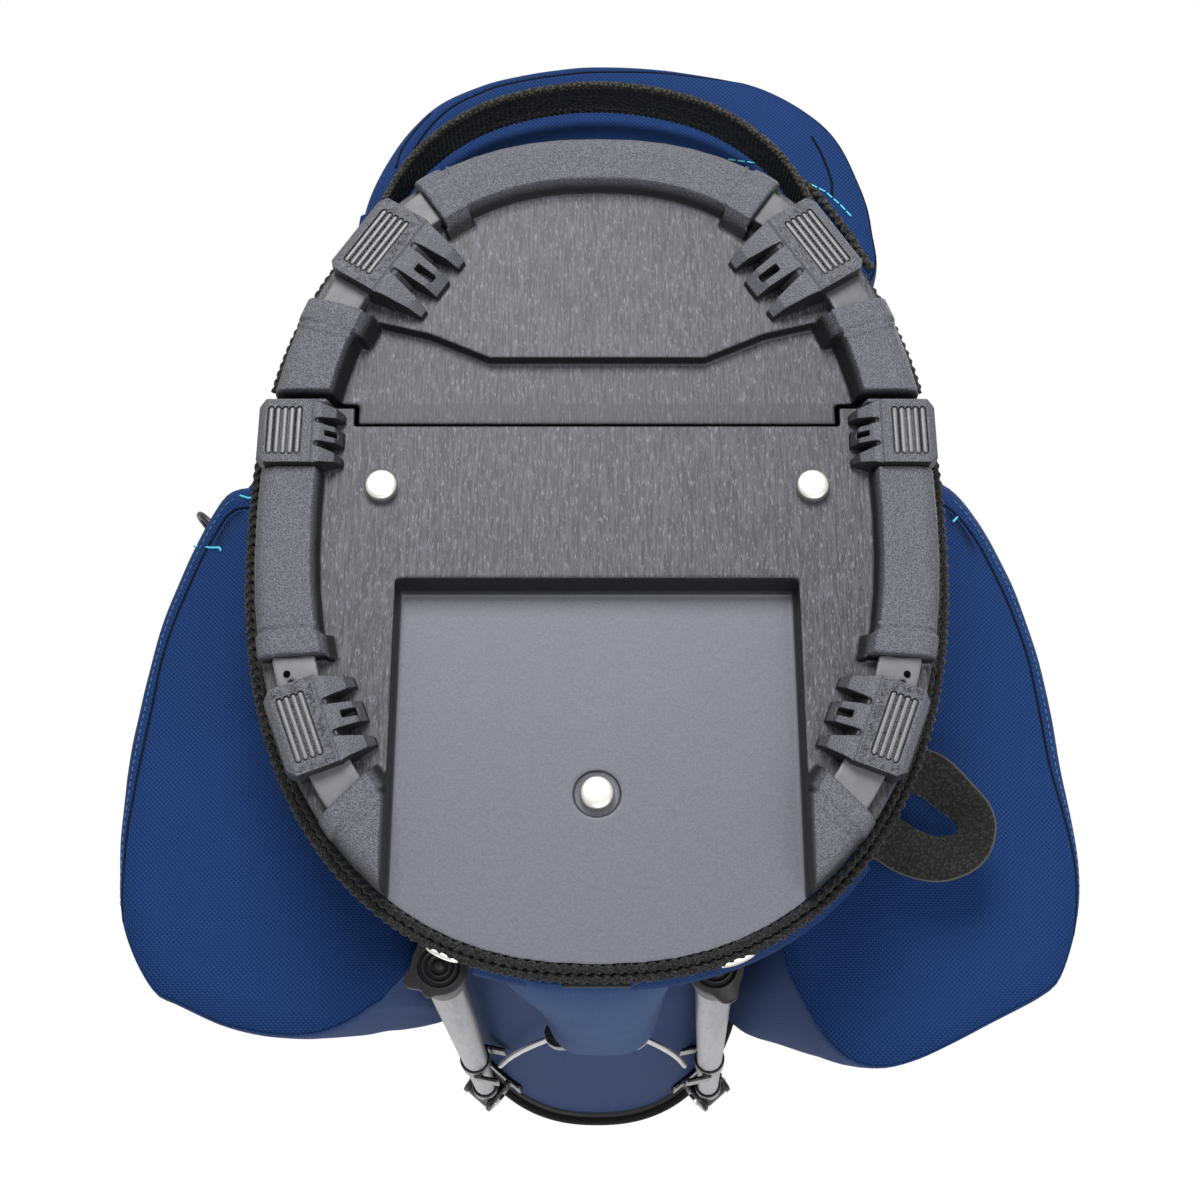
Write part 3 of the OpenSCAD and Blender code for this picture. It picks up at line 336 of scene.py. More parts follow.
for where, body in (("rear", "bag"), ("mid", "foot_plate_body"), ("front", "foot_plate_body")):
    for hand in ("left", "right"):
        mould(f"{where}_clip_{hand}", body, 0.34, 2, 0.4, clip_plastic)
for where, body in (("rear", "bag"), ("front", "foot_plate_body")):
    bar_plastic = polished(f"{where}_rail_plastic", rail_tones[where], 0.42, streak=(1, 1, 0.4))
    mould(f"{where}_rails", body, 0.7, 2, 0.4, bar_plastic)
for where, body in (("rear", "bag"), ("plate", "foot_plate_body")):
    mould(f"{where}_grip_ribs", body, 0.28, 2, 0.5, rib_plastic, f"{where}_ribs_skin")

# -------------------------------------------------------------------- rivets
# Three nickel rivets fix the hinge and the rod's seat to the foot plate. Their
# domed heads are turned, with a rolled edge, and show beneath.

nickel = polished("nickel", (0.66, 0.64, 0.60), 0.34, metal=1.0, scale=420.0)


def new_piece(name, points, faces, body, slot, material, uvs=None):
    """A mesh object of the bag, from points in metres, riding on a body."""
    mesh = bpy.data.meshes.new(name)
    mesh.from_pydata(points, [], faces)
    if uvs:
        layer = mesh.uv_layers.new(name="cloth")
        for loop, uv in zip(layer.data, (uv for face in uvs for uv in face)):
            loop.uv = uv
    for face in mesh.polygons:
        face.use_smooth = True
    piece = bpy.data.objects.new(name, mesh)
    bpy.context.scene.collection.objects.link(piece)
    piece.data.materials.append(material)
    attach(piece, body)
    return piece


def basis(way):
    """Two directions across a way, and the way itself."""
    way = Vector(way).normalized()
    hint = Vector((0, 0, 1)) if abs(way.z) < 0.9 else Vector((0, 1, 0))
    across = hint.cross(way).normalized()
    return across, way.cross(across), way


def circle(radius, count):
    return [(radius * cos(2 * pi * i / count), radius * sin(2 * pi * i / count))
            for i in range(count)]


def shell_faces(rows, count):
    """Faces of a form through rows of equally many points: its side, then both of its ends."""
    faces = [(k * count + i, k * count + (i + 1) % count,
              (k + 1) * count + (i + 1) % count, (k + 1) * count + i)
             for k in range(rows - 1) for i in range(count)]
    return faces + [tuple(range(count))[::-1], tuple((rows - 1) * count + i for i in range(count))]


def turned(profile, origin, way, count=48):
    """Points and faces of a lathe-turned form: (radius, height) pairs in mm along a way."""
    across, aside, along = basis(way)
    points = [(Vector(origin) + across * a + aside * b + along * height) * mm
              for radius, height in profile for a, b in circle(radius, count)]
    return points, shell_faces(len(profile), count)


def join_parts(parts):
    """One list of points and faces out of several."""
    points, faces = [], []
    for more_points, more_faces in parts:
        shift = len(points)
        points += more_points
        faces += [tuple(i + shift for i in face) for face in more_faces]
    return points, faces


# (radius, height) outlines of a rivet's head and its clenched end, below and above its grip
head = [(0.3, -4.5), (2.6, -4.42), (4.6, -4.22), (5.5, -3.95), (5.98, -3.5), (6.2, -2.9),
        (6.2, -0.9), (6.15, -0.1), (4.2, -0.02)]
clench = [(4.5, 0.02), (4.5, 1.2), (3.9, 1.62), (0.3, 1.62)]
rivets = []
for x, y, under, above in ((80.5, 11, 11, 14), (-80.5, 11, 11, 14), (0, -103.5, 23.4, 25)):
    rivets.append(turned(head, (x, y, under), (0, 0, 1)))
    rivets.append(turned(clench, (x, y, above), (0, 0, 1)))
rivet_heads = new_piece("rivets", *join_parts(rivets), "foot_plate_body", "nickel", nickel)
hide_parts("base_studs")

# each front bar has one small drain hole in its window, drawn as a black disc: painted shade for the
# hole
hole_outline = [(0.2, -0.16), (1.2, -0.14), (1.3, 0.1)]
holes = [turned(hole_outline, (hand * 110.1, -64.4, 5.05), (hand * 0.35, 0.17, 0.92), 24)
         for hand in (1, -1)]
painted_hole_shade = polished("painted_hole_shade", (0.002, 0.002, 0.002), 0.9, gloss=0.05)
new_piece("rail_holes", *join_parts(holes), "foot_plate_body", "rail_plastic", painted_hole_shade)

# --------------------------------------------------------------------- hinge
# A steel pin joins the two halves inside, through nylon knuckles on each. The rod that
# the plate pushes runs in black guides, against a steel spring.

steel = polished("steel", (0.62, 0.62, 0.64), 0.22, metal=1.0, streak=(0.1, 1, 1))
hidden_plastic = grained("black_plastic", 0.012, 0.022, scale=500.0)
for name in ("rear_hinge_blocks", "plate_hinge_blocks", "rod_guides"):
    paint(nodes[name], hidden_plastic)
for name in ("hinge_pin", "leg_pins", "return_spring", "push_rod"):
    paint(nodes[name], steel)

# --------------------------------------------------------------------- welts
# A black coil zip runs round the base and closes the cover's lower edge. Its two
# coils lie side by side outside the rim, and a narrow tape backs them in front.

base_a, base_b, base_power = 126, 164, 2.3


def superellipse(a, b, power, turn):
    c, s = cos(turn), sin(turn)
    return (a * (1 if c > 0 else -1) * abs(c) ** (2 / power),
            b * (1 if s > 0 else -1) * abs(s) ** (2 / power))


def even_numbers(first, last, count):
    """Numbers from first to last in a count of even steps."""
    return [first + (last - first) * i / count for i in range(count + 1)]


def even_path(point_at, start, end, step):
    """Points at even steps along a curve given by a turn in radians."""
    return even_steps([point_at(turn) for turn in even_numbers(start, end, 1500)], step)


def even_steps(dense, step):
    """Points at even steps along the line through others."""
    dense = [Vector(point) for point in dense]
    lengths = [0]
    for a, b in zip(dense, dense[1:]):
        lengths.append(lengths[-1] + (b - a).length)
    count = max(2, int(lengths[-1] / step))
    path, k = [], 0
    for i in range(count + 1):
        goal = lengths[-1] * i / count
        while k < len(lengths) - 2 and lengths[k + 1] < goal:
            k += 1
        span = lengths[k + 1] - lengths[k]
        path.append(dense[k].lerp(dense[k + 1], (goal - lengths[k]) / span if span else 0))
    return path


def directions(path, i, up):
    """A path's way at one of its points, and the direction square to it that is nearest up."""
    way = (path[min(i + 1, len(path) - 1)] - path[max(i - 1, 0)]).normalized()
    over = Vector(up) - way * way.dot(Vector(up))
    return way, over.normalized()


def swept(path, section_at, up):
    """Points and faces of a form swept along a path in mm; section_at(i) gives (across, up)."""
    points = []
    for i, place in enumerate(path):
        way, over = directions(path, i, up)
        across = over.cross(way)
        section = section_at(i)
        points += [(place + across * a + over * b) * mm for a, b in section]
    return points, shell_faces(len(path), len(section))


def twisted(radius, pitch, step, depth, sides=12, hand=1):
    """Section of a cord of two strands or of a coil zip, turning along its length."""
    def section(i):
        turn = hand * 2 * pi * i * step / pitch
        ring = []
        for k in range(sides):
            t = 2 * pi * k / sides
            r = radius - depth * (0.5 - 0.5 * cos(2 * t + turn))
            ring.append((r * cos(t), r * sin(t)))
        return ring
    return section


def webbing_finish(name, colour, pitch=0.0011, sheen=0.12, light=2.6):
    """Narrow woven goods: fine cross ribs and lengthwise picks."""
    material, add, link = shader(name, Roughness=0.8, Sheen_Weight=sheen, Sheen_Roughness=0.5,
                                 Specular_IOR_Level=0.2)
    place = add("TexCoord").outputs["Object"]
    weave = add("TexVoronoi", {"feature": "F1"}, Vector=place, Scale=0.75 / pitch)
    slub = cloudy(add, place, 260.0, 4.0)
    # the middles of the weave cells are lighter by the factor light: the threads' paler crowns, with
    # painted highlight on them
    tone = blend_colours(add, band(add, weave.outputs["Distance"], 0.15, 0.6),
                         (*[c * light for c in colour], 1), (*colour, 1))
    link(tone, "Base Color")
    height = maths(add, "SUBTRACT", times(add, slub, 0.4), weave.outputs["Distance"])
    link(add("Bump", Height=height, Strength=0.8, Distance=0.0007).outputs[0], "Normal")
    return material


# the black cord's light factor is high, so the coil's turns show painted highlight flecks
black_cord = webbing_finish("black_cord", (0.005, 0.005, 0.005), pitch=0.0007, light=7.0)
black_webbing = webbing_finish("black_webbing", (0.005, 0.005, 0.0055), light=3.0)
welt_step = 0.4


def round_base(reach, height):
    """A path round the base, a reach outside its oval and at a height."""
    def point(turn):
        x, y = superellipse(base_a + reach, base_b + reach, base_power, turn)
        return (x, y, height)
    return point


for name, node, body, first, last in (
        ("rear_welt_coil", "rear_welt", "bag", 17, 163),
        ("front_welt_coil", "front_welt", "foot_plate_body", -194, 14)):
    coils = []
    for reach, height, hand in ((1.5, 22.4, 1), (4.6, 24.0, -1)):
        path = even_path(round_base(reach, height), radians(first), radians(last), welt_step)
        coils.append(swept(path, twisted(1.8, 3.8, welt_step, 0.85, hand=hand), (0, 0, 1)))
    path = even_path(round_base(3.1, 24.6), radians(first), radians(last), 2.5)
    tape = [(-2.6, -0.9), (2.6, 0.5), (2.6, 1.1), (-2.6, -0.3)]
    coils.append(swept(path, lambda i: tape, (0, 0, 1)))
    welt = new_piece(name, *join_parts(coils), body, "black_cord", black_cord)
    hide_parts(node)

# ---------------------------------------------------------------- woven body
# The bag's body is a tube of coated polyester over four rods, lined and seamed at
# its sides, and cut away on a slope above the foot plate. A thin board closes it.


def woven(name, colour, pitch=0.00095, rough=0.7, sheen=0.02, contrast=0.55):
    """Plain-woven cloth: over-and-under threads by the cloth's own measure."""
    material, add, link = shader(name, Roughness=rough, Sheen_Weight=sheen, Sheen_Roughness=0.4,
                                 Specular_IOR_Level=0.1, Sheen_Tint=(0.5, 0.65, 1, 1))
    cloth = add("UVMap", {"uv_map": "cloth"}).outputs[0]
    place = add("TexCoord").outputs["Object"]
    drift = add("TexNoise", Vector=place, Scale=220.0, Detail=2.0)
    wavy = add("VectorMath", {"operation": "MULTIPLY_ADD"}, _0=drift.outputs["Color"],
               _1=(0.0003, 0.0003, 0.0), _2=cloth).outputs[0]
    across, up = add("SeparateXYZ", Vector=wavy).outputs[:2]
    warp = maths(add, "SINE", times(add, across, pi / pitch))
    weft = maths(add, "SINE", times(add, up, pi / pitch))
    cross = times(add, warp, weft)
    weave = add("MapRange", Value=cross, From_Min=-1.0, From_Max=1.0).outputs[0]
    clouds = cloudy(add, place, 9.0, 4.0, 0.6)
    dark = (*[c * (1 - contrast) for c in colour], 1)
    light = (*[min(1, c * (1 + contrast) + 0.004) for c in colour], 1)
    tone = blend_colours(add, weave, dark, light)
    tone = blend_colours(add, times(add, band(add, clouds, 0.35, 0.75), 0.35),
                         tone, (*[c * 1.28 for c in colour], 1))
    link(tone, "Base Color")
    height = maths(add, "ADD", maths(add, "ABSOLUTE", cross),
                   times(add, drift.outputs["Fac"], 0.5))
    link(add("Bump", Height=height, Strength=0.6, Distance=0.0004).outputs[0], "Normal")
    return material


navy = woven("navy_fabric", (0.0072, 0.031, 0.118))
stretch = woven("stretch_fabric", (0.026, 0.062, 0.165), pitch=0.0006, rough=0.8, sheen=0.2,
                contrast=0.3)
# height, half width, half depth and forward shift of the body
body_levels = [(27, 125, 163, 0), (60, 121.5, 155, 0), (110, 119, 151.5, 0),
               (400, 116, 146, -4), (847.5, 112, 139, -10)]
body_low, body_top, slope_start, slope = 28, 847, 49, 0.364


def level_at(levels, z):
    """The three values of a table at a height."""
    z = min(max(z, levels[0][0]), levels[-1][0])
    for low, high in zip(levels, levels[1:]):
        if z <= high[0]:
            f = (z - low[0]) / (high[0] - low[0])
            return [low[i] + (high[i] - low[i]) * f for i in (1, 2, 3)]


def cut_height(y):
    """Height of the body's lower edge: level behind the hinge, sloping up before it."""
    return body_low + max(0, slope_start - y) * slope


def ring_skin(name, rings, body, slot, material, across=None, closed=True, flip=False):
    """Cloth through rings of equally many points in mm, measured along and up it."""
    count = len(rings[0])
    points = [Vector(p) * mm for ring in rings for p in ring]
    around = [0]
    middle = rings[len(rings) // 2]
    for a, b in zip(middle, middle[1:] + middle[:1]):
        around.append(around[-1] + (Vector(b) - Vector(a)).length * mm)
    up = [0]
    for a, b in zip(rings, rings[1:]):
        up.append(up[-1] + (Vector(b[0]) - Vector(a[0])).length * mm)
    faces, uvs = [], []
    for k in range(len(rings) - 1):
        for i in range(count if closed else count - 1):
            j = (i + 1) % count
            face = (k * count + i, k * count + j, (k + 1) * count + j, (k + 1) * count + i)
            if across and across(rings[k][i], rings[k + 1][j]):
                uv = [(points[p].x, points[p].y) for p in face]
            else:
                uv = [(around[i], up[k]), (around[i + 1], up[k]),
                      (around[i + 1], up[k + 1]), (around[i], up[k + 1])]
            faces.append(face[::-1] if flip else face)
            uvs.append(uv[::-1] if flip else uv)
    return new_piece(name, points, faces, body, slot, material, uvs)


def thicken(piece, depth):
    """Gives a cloth its thickness, inwards."""
    solid = piece.modifiers.new("thickness", "SOLIDIFY")
    solid.thickness = depth * mm
    solid.offset = -1
    settle(piece)


def ripple(x, y, z, size, seed=0):
    """Smooth wandering between about -1 and 1."""
    return noise.noise(Vector((x / size + seed * 7.3, y / size, z / size)))


turns_round = 144
heights = [0, 0.004, 0.012, 0.03, 0.06, 0.1, 0.16, 0.24, 0.32, 0.42, 0.52, 0.62, 0.72, 0.82,
           0.9, 0.96, 1]
body_rings = []
for f in heights:
    ring = []
    for i in range(turns_round):
        turn = 2 * pi * i / turns_round
        y_low = superellipse(125, 163, base_power, turn)[1]
        low = cut_height(y_low)
        z = low + (body_top - low) * f
        a, b, shift = level_at(body_levels, z)
        sag = 0.7 * ripple(a * cos(turn), b * sin(turn), z, 90) * sin(pi * f)
        x, y = superellipse(a + sag - 0.2, b + sag - 0.2, base_power, turn)
        ring.append((x, y + shift, z))
    body_rings.append(ring)
body_cloth = ring_skin("body", body_rings, "bag", "navy_fabric", navy)
thicken(body_cloth, 2.4)
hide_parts("body_tube")
paint(nodes["inner_floor"], hidden_plastic)
paint(nodes["stays"], polished("stay_rod", (0.03, 0.03, 0.032), 0.4, scale=300.0))

# ----------------------------------------------------- skirt and rod's apron
# Stretch cloth closes the wedge between foot plate and body, so it folds when the
# plate tilts. In front it stands out over the push rod in a tapering apron.

hem = 26.5
skirt_rings = []
for f in (0, 0.05, 0.12, 0.22, 0.34, 0.48, 0.62, 0.78, 0.9, 1):
    ring = []
    for turn in even_numbers(radians(-196), radians(16), 108):
        x0, y0 = superellipse(122, 152.5, base_power, turn)
        rise = cut_height(y0) + 6 - hem
        z = hem + rise * f
        slack = 2.2 * sin(pi * f) * rise / 80 * ripple(x0, y0, z, 26, 3)
        inset = 4.2 * min(1, (z - hem) / 70)
        flare = 13 * max(0, 1 - f / 0.3) ** 1.6 * max(0, -sin(turn)) ** 6
        ring.append((*superellipse(122.5 - inset + slack, 154.5 - 1.4 * inset + slack + flare,
                                   base_power, turn), z))
    skirt_rings.append(ring)
skirt = ring_skin("skirt", skirt_rings, "bag", "stretch_fabric", stretch, closed=False)
thicken(skirt, 1.0)
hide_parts("bellows")
skirt.parent = None
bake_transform(skirt)

# the cover's edge in front is bound with the body's cloth
binding_rows = ((4.4, 25.4), (5.6, 26.8), (7.0, 29.2), (7.6, 31.4))
binding_rings = [[round_base(reach, height)(radians(turn)) for turn in even_numbers(-134, -74, 90)]
                 for reach, height in binding_rows]
binding = ring_skin("cover_binding", binding_rings, "foot_plate_body", "navy_fabric", navy,
                    closed=False)
thicken(binding, 0.8)

# height, half width, how far in front of the middle it stands, and its shift aside
apron_rows = [(27, 46, 170.5, 3), (36, 44, 174, 3), (50, 41, 176, 3), (70, 36, 177, 2),
              (104, 32, 176.5, 0), (140, 30, 175, -1), (175, 28.5, 173.5, -1.5),
              (200, 27.5, 172.5, -2), (222, 26.5, 171.5, -2.5), (236, 23, 171, -2.5),
              (243, 16, 170, -2), (248, 5, 169, -2)]
apron_grid = []
for z in even_numbers(apron_rows[0][0], apron_rows[-1][0], 44):
    half, reach, aside = level_at(apron_rows, z)
    a, b, shift = level_at(body_levels, z)
    # the skirt's face lies behind its lower part, and the body's face behind the rest
    a, b, shift = (121, 152.3, 0) if z < 100 else (a, b + 0.6, shift)
    point_sharp = 2.8 + 2.4 * min(1, max(0, (z - 170) / 50))
    row = []
    for s in even_numbers(-1, 1, 40):
        x = half * s + aside
        wall = shift - b * (1 - abs(x / a) ** base_power) ** (1 / base_power)
        crown = (1 - abs(s) ** point_sharp) ** 0.9
        fold = ripple(x, 0, z, 30, 5) * crown
        row.append((x, wall - (reach + wall) * crown - fold, z))
    apron_grid.append(row)
apron = ring_skin("rod_apron", apron_grid, "bag", "stretch_fabric", stretch, closed=False)
thicken(apron, 1.0)
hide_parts("rod_cover")
apron.parent = None
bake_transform(apron)

# ------------------------------------------------------------------ pockets
# Two side pockets and a rear one, of the body's cloth. Each has a bottom panel set in with a
# piped seam, near black as painted crease shade, a row of stitches beside it, and bright bar tacks.

# by side, 1 right and -1 left: a folded leg's lower end, and the pin it turns on
feet = {1: Vector((56, -161, 42)), -1: Vector((-42, -161, 42))}
pivots = {1: Vector((84, -136, 780)), -1: Vector((-84, -136, 780))}


def leg_way_clear(x, y, z, hand):
    """Draws a point back from the way of the leg on its side."""
    foot, pivot = feet[hand], pivots[hand]
    leg = foot.lerp(pivot, (z - foot.z) / (pivot.z - foot.z))
    # the leg swings out between forwards and sideways, in a way this wide
    sideways, forwards, way_width, way_end = 0.766, 0.643, 13.5, -16
    px, py = x * hand - leg.x * hand, y - leg.y
    off = px * sideways + py * forwards
    ahead = px * forwards - py * sideways
    if ahead > way_end and off < way_width:
        px += sideways * (way_width - off)
        py += forwards * (way_width - off)
    return leg.x + px * hand, leg.y + py


def outside_body(x, y, z):
    """Moves a point that lies in the body out to its face."""
    a, b, shift = level_at(body_levels, z)
    sunk = 1.2
    r = (abs(x / (a - sunk)) ** base_power + abs((y - shift) / (b - sunk)) ** base_power) \
        ** (1 / base_power)
    return (x, y) if r >= 1 else (x / r, (y - shift) / r + shift)


def smooth_curve(points, steps=14, closed=False):
    """A smooth curve through points, open or closed."""
    curve, last = [], len(points) - 1
    for k in range(last + closed):
        near = [(k + i) % (last + 1) if closed else min(max(k + i, 0), last) for i in (-1, 0, 1, 2)]
        a, b, c, d = (Vector(points[i]) for i in near)
        for j in range(steps):
            t = j / steps
            curve.append(0.5 * (2 * b + (c - a) * t + (2 * a - 5 * b + 4 * c - d) * t * t
                                + (3 * b - a - 3 * c + d) * t ** 3))
    return curve if closed else curve + [Vector(points[-1])]


class Pocket:
    """A pocket's form: its outline, and how that changes with height."""

    def __init__(self, outline, centre, foot, top, taper, hand, seed):
        self.centre, self.foot, self.top = Vector(centre), foot, top
        self.taper, self.hand, self.seed = taper, hand, seed
        loop = smooth_curve(outline, 16, closed=True)
        self.curve = even_steps([p.to_3d() for p in loop + loop[:1]], 1)
        self.count = len(self.curve) - 1

    def place(self, share, inset, z):
        """A point at a share of the way round, drawn in by an inset."""
        here = share % 1 * self.count
        k = int(here)
        edge = self.curve[k].lerp(self.curve[k + 1], here - k).to_2d()
        rise = min(1, max(0, z - self.foot) / (self.top - self.foot) / 0.95)
        back = edge - self.centre
        if back.y < 0:
            back.y *= 1 - self.taper * rise
        reach = back.length
        back *= max(0, 1 - inset / max(reach, 1))
        x, y = self.centre + back
        waves = 1.2 * ripple(x, y, z * 0.4, 52, self.seed) + 0.4 * ripple(x, y, z, 19, self.seed)
        x += back.x / max(reach, 1) * waves
        y += back.y / max(reach, 1) * waves
        if self.hand:
            x *= self.hand
            x, y = leg_way_clear(x, y, z, self.hand)
        x, y = outside_body(x, y, z)
        return (x, y, z)


seam_inset, stitch_inset = 7.2, 4.6


def pocket_levels(foot, top, deep, belly):
    """Inset and height from the middle of the bottom panel to the top's edge."""
    levels = [(deep * (1 - s), foot - belly * (1 - s) ** 1.3) for s in
              (0, 0.1, 0.2, 0.3, 0.4, 0.5, 0.6, 0.7, 0.8, 0.88)]
    levels += [(9.4, foot - 0.9), (8.2, foot - 0.4), (seam_inset, foot + 0.7), (6.2, foot - 0.1),
               (stitch_inset, foot + 0.4), (2.9, foot + 2), (1.4, foot + 4.5), (0.4, foot + 8.5),
               (-0.2, foot + 15), (-0.6, foot + 26), (-0.8, foot + 44)]
    high = top - foot
    levels += [(-1 + 1.5 * f, foot + f * high) for f in (0.16, 0.24, 0.34, 0.45, 0.56, 0.67, 0.77)]
    levels += [(3, top - 62), (6, top - 44), (11, top - 27), (18, top - 14), (27, top - 5),
               (40, top - 1), (deep * 0.8, top + 1), (deep, top + 1)]
    return levels


def spread(share, inset):
    """The seam lies further in at a pocket's rear edge, and runs out at its corner."""
    if not 0 < inset < 12:
        return inset
    near_corner = min(1, max(0, (share - 0.2) / 0.14))
    return inset * (1 + 0.9 * max(0, 1 - share / 0.15) - 0.75 * near_corner ** 2)


def pocket_skin(name, form, deep, belly, node):
    """A pocket of cloth whose bottom panel sags by its belly."""
    shares = [i / 180 for i in range(180)]
    rings = [[form.place(share, spread(share, inset), z) for share in shares]
             for inset, z in pocket_levels(form.foot, form.top, deep, belly)]
    piece = ring_skin(name, rings, "bag", "navy_fabric", navy, flip=form.hand < 0,
                      across=lambda p, q: (p[2] + q[2]) / 2 < form.foot + 1.2)
    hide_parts(node)
    return piece


# the piped seams are near black: painted shade of the crease along each seam
seam_shade_cord = polished("seam_piping_shade", (0.004, 0.006, 0.012), 0.8, scale=600.0, gloss=0.1)
blue_thread = polished("blue_thread", (0.04, 0.13, 0.28), 0.55, scale=900.0)
bright_thread = polished("bright_thread", (0.10, 0.62, 0.78), 0.5, scale=900.0)


def tube(name, path, radius, body, slot, material, sides=8):
    """A round cord along a path in mm."""
    hint = (0, 0, 1) if abs((path[-1] - path[0]).normalized().z) < 0.9 else (0, 1, 0)
    return new_piece(name, *swept(path, lambda i: circle(radius, sides), hint), body, slot,
                     material)


def stitches(name, path, body, slot, material, length, gap, radius):
    """A row of separate stitches laid along a path in mm."""
    step = 0.45
    fine = even_steps(path, step)
    dash, pause = int(length / step), int(gap / step)
    parts = [swept(fine[start:start + dash + 1], lambda i: circle(radius, 6), (0.1, 0.2, 1))
             for start in range(0, len(fine) - dash, dash + pause)]
    return new_piece(name, *join_parts(parts), body, slot, material)


def along_outline(form, inset, z, first, last):
    """Path on a pocket between two shares of the way round."""
    return [Vector(form.place(share, spread(share, inset), z))
            for share in even_numbers(first, last, 300)]


# outlines measured outwards from the middle, rear to front
right_outline = [(149, 51), (164, 37), (180, -9), (186, -44), (188.5, -82), (187.5, -114),
                 (182, -142), (170, -163), (160, -169), (141, -177), (121, -181), (104, -180),
                 (87, -171), (72, -155), (66, -100), (80, -20), (110, 45)]
left_outline = [(148, 53), (173, 9), (183, -35), (187.5, -78), (189.5, -116), (186, -138),
                (178, -158), (169, -166), (147, -177), (120, -189), (103, -192), (90, -186),
                (78, -168), (70, -145), (66, -90), (80, -20), (110, 45)]
rear_outline = [(102, 165), (93, 195), (76, 220), (53, 233), (28, 240), (3, 243), (-22, 242),
                (-46, 237), (-76, 227), (-100, 208), (-113, 183), (-119, 157), (-118, 130),
                (-90, 105), (-30, 90), (40, 90), (80, 105), (100, 130)]
for word, outline, hand, seed in (("right", right_outline, 1, 1), ("left", left_outline, -1, 2)):
    form = Pocket(outline, (128, -62), 88, 560, 0.5, hand, seed)
    pocket_skin(f"side_pocket_{word}_skin", form, 128, 16, f"side_pocket_{word}")
    tube(f"side_seam_{word}", along_outline(form, seam_inset, 88.4, 0, 0.34), 0.6, "bag",
         "black_cord", seam_shade_cord)
    stitches(f"side_stitches_{word}", along_outline(form, stitch_inset, 88.2, 0.01, 0.33), "bag",
             "navy_fabric", blue_thread, length=2.2, gap=1.6, radius=0.26)
form = Pocket(rear_outline, (-5, 150), 58, 430, 0, 0, 3)
pocket_skin("rear_pocket_skin", form, 118, 8, "rear_pocket")
tube("rear_seam", along_outline(form, seam_inset, 58.4, 0, 0.62), 0.6, "bag", "black_cord",
     seam_shade_cord)

# the rear pocket's corners are gathered by two short seams, near black as painted crease shade
corner_seams = {
    "left": [(-94.3, 201.4, 57.2), (-97.9, 193.1, 57.2), (-100.5, 184.3, 57.2),
             (-101.9, 177.6, 57.2), (-101.6, 171, 57.2)],
    "right": [(73.5, 215, 59.3), (80.2, 205.9, 59.2), (85.5, 196.5, 59.2), (87.6, 185.9, 58.2)]}
for word, line in corner_seams.items():
    tube(f"corner_seam_{word}", even_steps(line, 2), 0.55, "bag", "black_cord", seam_shade_cord)

# bright tacks hold the ends of the side seams, and bright rows cross the rear pocket
tacks = {
    "side_pocket_right_upper": [(150.9, 43.1, 88.5), (146.5, 41.4, 87.8), (143, 43.6, 87.8)],
    "side_pocket_right_lower": [(169, 21.2, 91.8), (160.5, 18.5, 86.9), (157, 18.3, 86.2),
                                (156.4, 16.6, 86.2)],
    "side_pocket_left": [(-151.4, 32.8, 87.8), (-149.1, 30.1, 86.3)]}
for word, line in tacks.items():
    tube(f"tack_{word}", even_steps(line, 1), 0.5, "bag", "nickel", bright_thread)
bright_rows = {
    "inner": [(-57, 188.3, 55.3), (-66.5, 186.9, 55.6), (-76, 185.5, 55.8)],
    "outer": [(-89, 178.5, 56.6), (-98.6, 172.9, 56.9), (-104.8, 166.4, 57.1), (-110, 159.3, 56.9)],
    "far": [(87.7, 170.2, 56.6), (78.4, 175.8, 56.4)]}
for word, line in bright_rows.items():
    stitches(f"bright_row_{word}", line, "bag", "nickel", bright_thread, length=3.4, gap=0.9,
             radius=0.42)

# ---------------------------------------------------- webbing on the bag's foot
# A ribbed webbing arch behind the base lifts the bag's foot; both its edges are bound
# with twisted cord. A soft knitted loop and a small ring are sewn to the sides.


def band_section(width, thick, step, rib, depth):
    """Section of a ribbed band: cross ribs on both faces, rounded edges."""
    def section(i):
        swell = depth * (0.5 + 0.5 * cos(2 * pi * i * step / rib))
        half, t, edge = width / 2, thick / 2 + swell, 0.8
        upper = [(-half + edge, t), (-half / 3, t * 1.04), (half / 3, t * 1.04), (half - edge, t)]
        lower = [(-x, -y) for x, y in upper]
        return (upper[::-1] + [(-half, 0.35 * t), (-half, -0.35 * t)] + lower[::-1]
                + [(half, -0.35 * t), (half, 0.35 * t)])
    return section


arch = [(93.5, 122, 41), (90, 147, 41), (74, 178, 41), (44, 201, 41), (0, 210, 41),
        (-44, 201, 41), (-74, 178, 41), (-90, 147, 41), (-93.5, 122, 41)]
arch_line = even_steps(smooth_curve(arch), 0.5)
# the band's flat lies upright, so its width runs along the height
handle = new_piece("lift_handle_band", *swept(
    arch_line, lambda i: [(b, a) for a, b in band_section(16, 1.9, 0.5, 2.3, 0.55)(i)][::-1],
    (0, 0.001, 1)), "bag", "black_webbing", black_webbing)
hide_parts("lift_handle")
edge_cord = webbing_finish("edge_cord", (0.008, 0.0075, 0.006), pitch=0.0009, light=9.0)
for name, height in (("lift_handle_lower_edge", -8.4), ("lift_handle_upper_edge", 8.2)):
    edge_line = [p + Vector((0, 0, height)) for p in arch_line]
    new_piece(name, *swept(edge_line, twisted(1.75, 2.3, 0.5, 0.6, sides=10),
                           (0, 0, 1)), "bag", "black_cord", edge_cord)

# a short coil zip runs on from the handle's edge to the base
coil_line = even_steps([(-86, 180, 55.6), (-96.3, 168.8, 55.6), (-106.3, 152.8, 55.8),
                        (-115.9, 133.8, 55.6)], 0.4)
new_piece("corner_coil", *swept(coil_line, twisted(2.0, 4.2, 0.4, 0.9),
                                (0, 0, 1)), "bag", "black_cord", edge_cord)


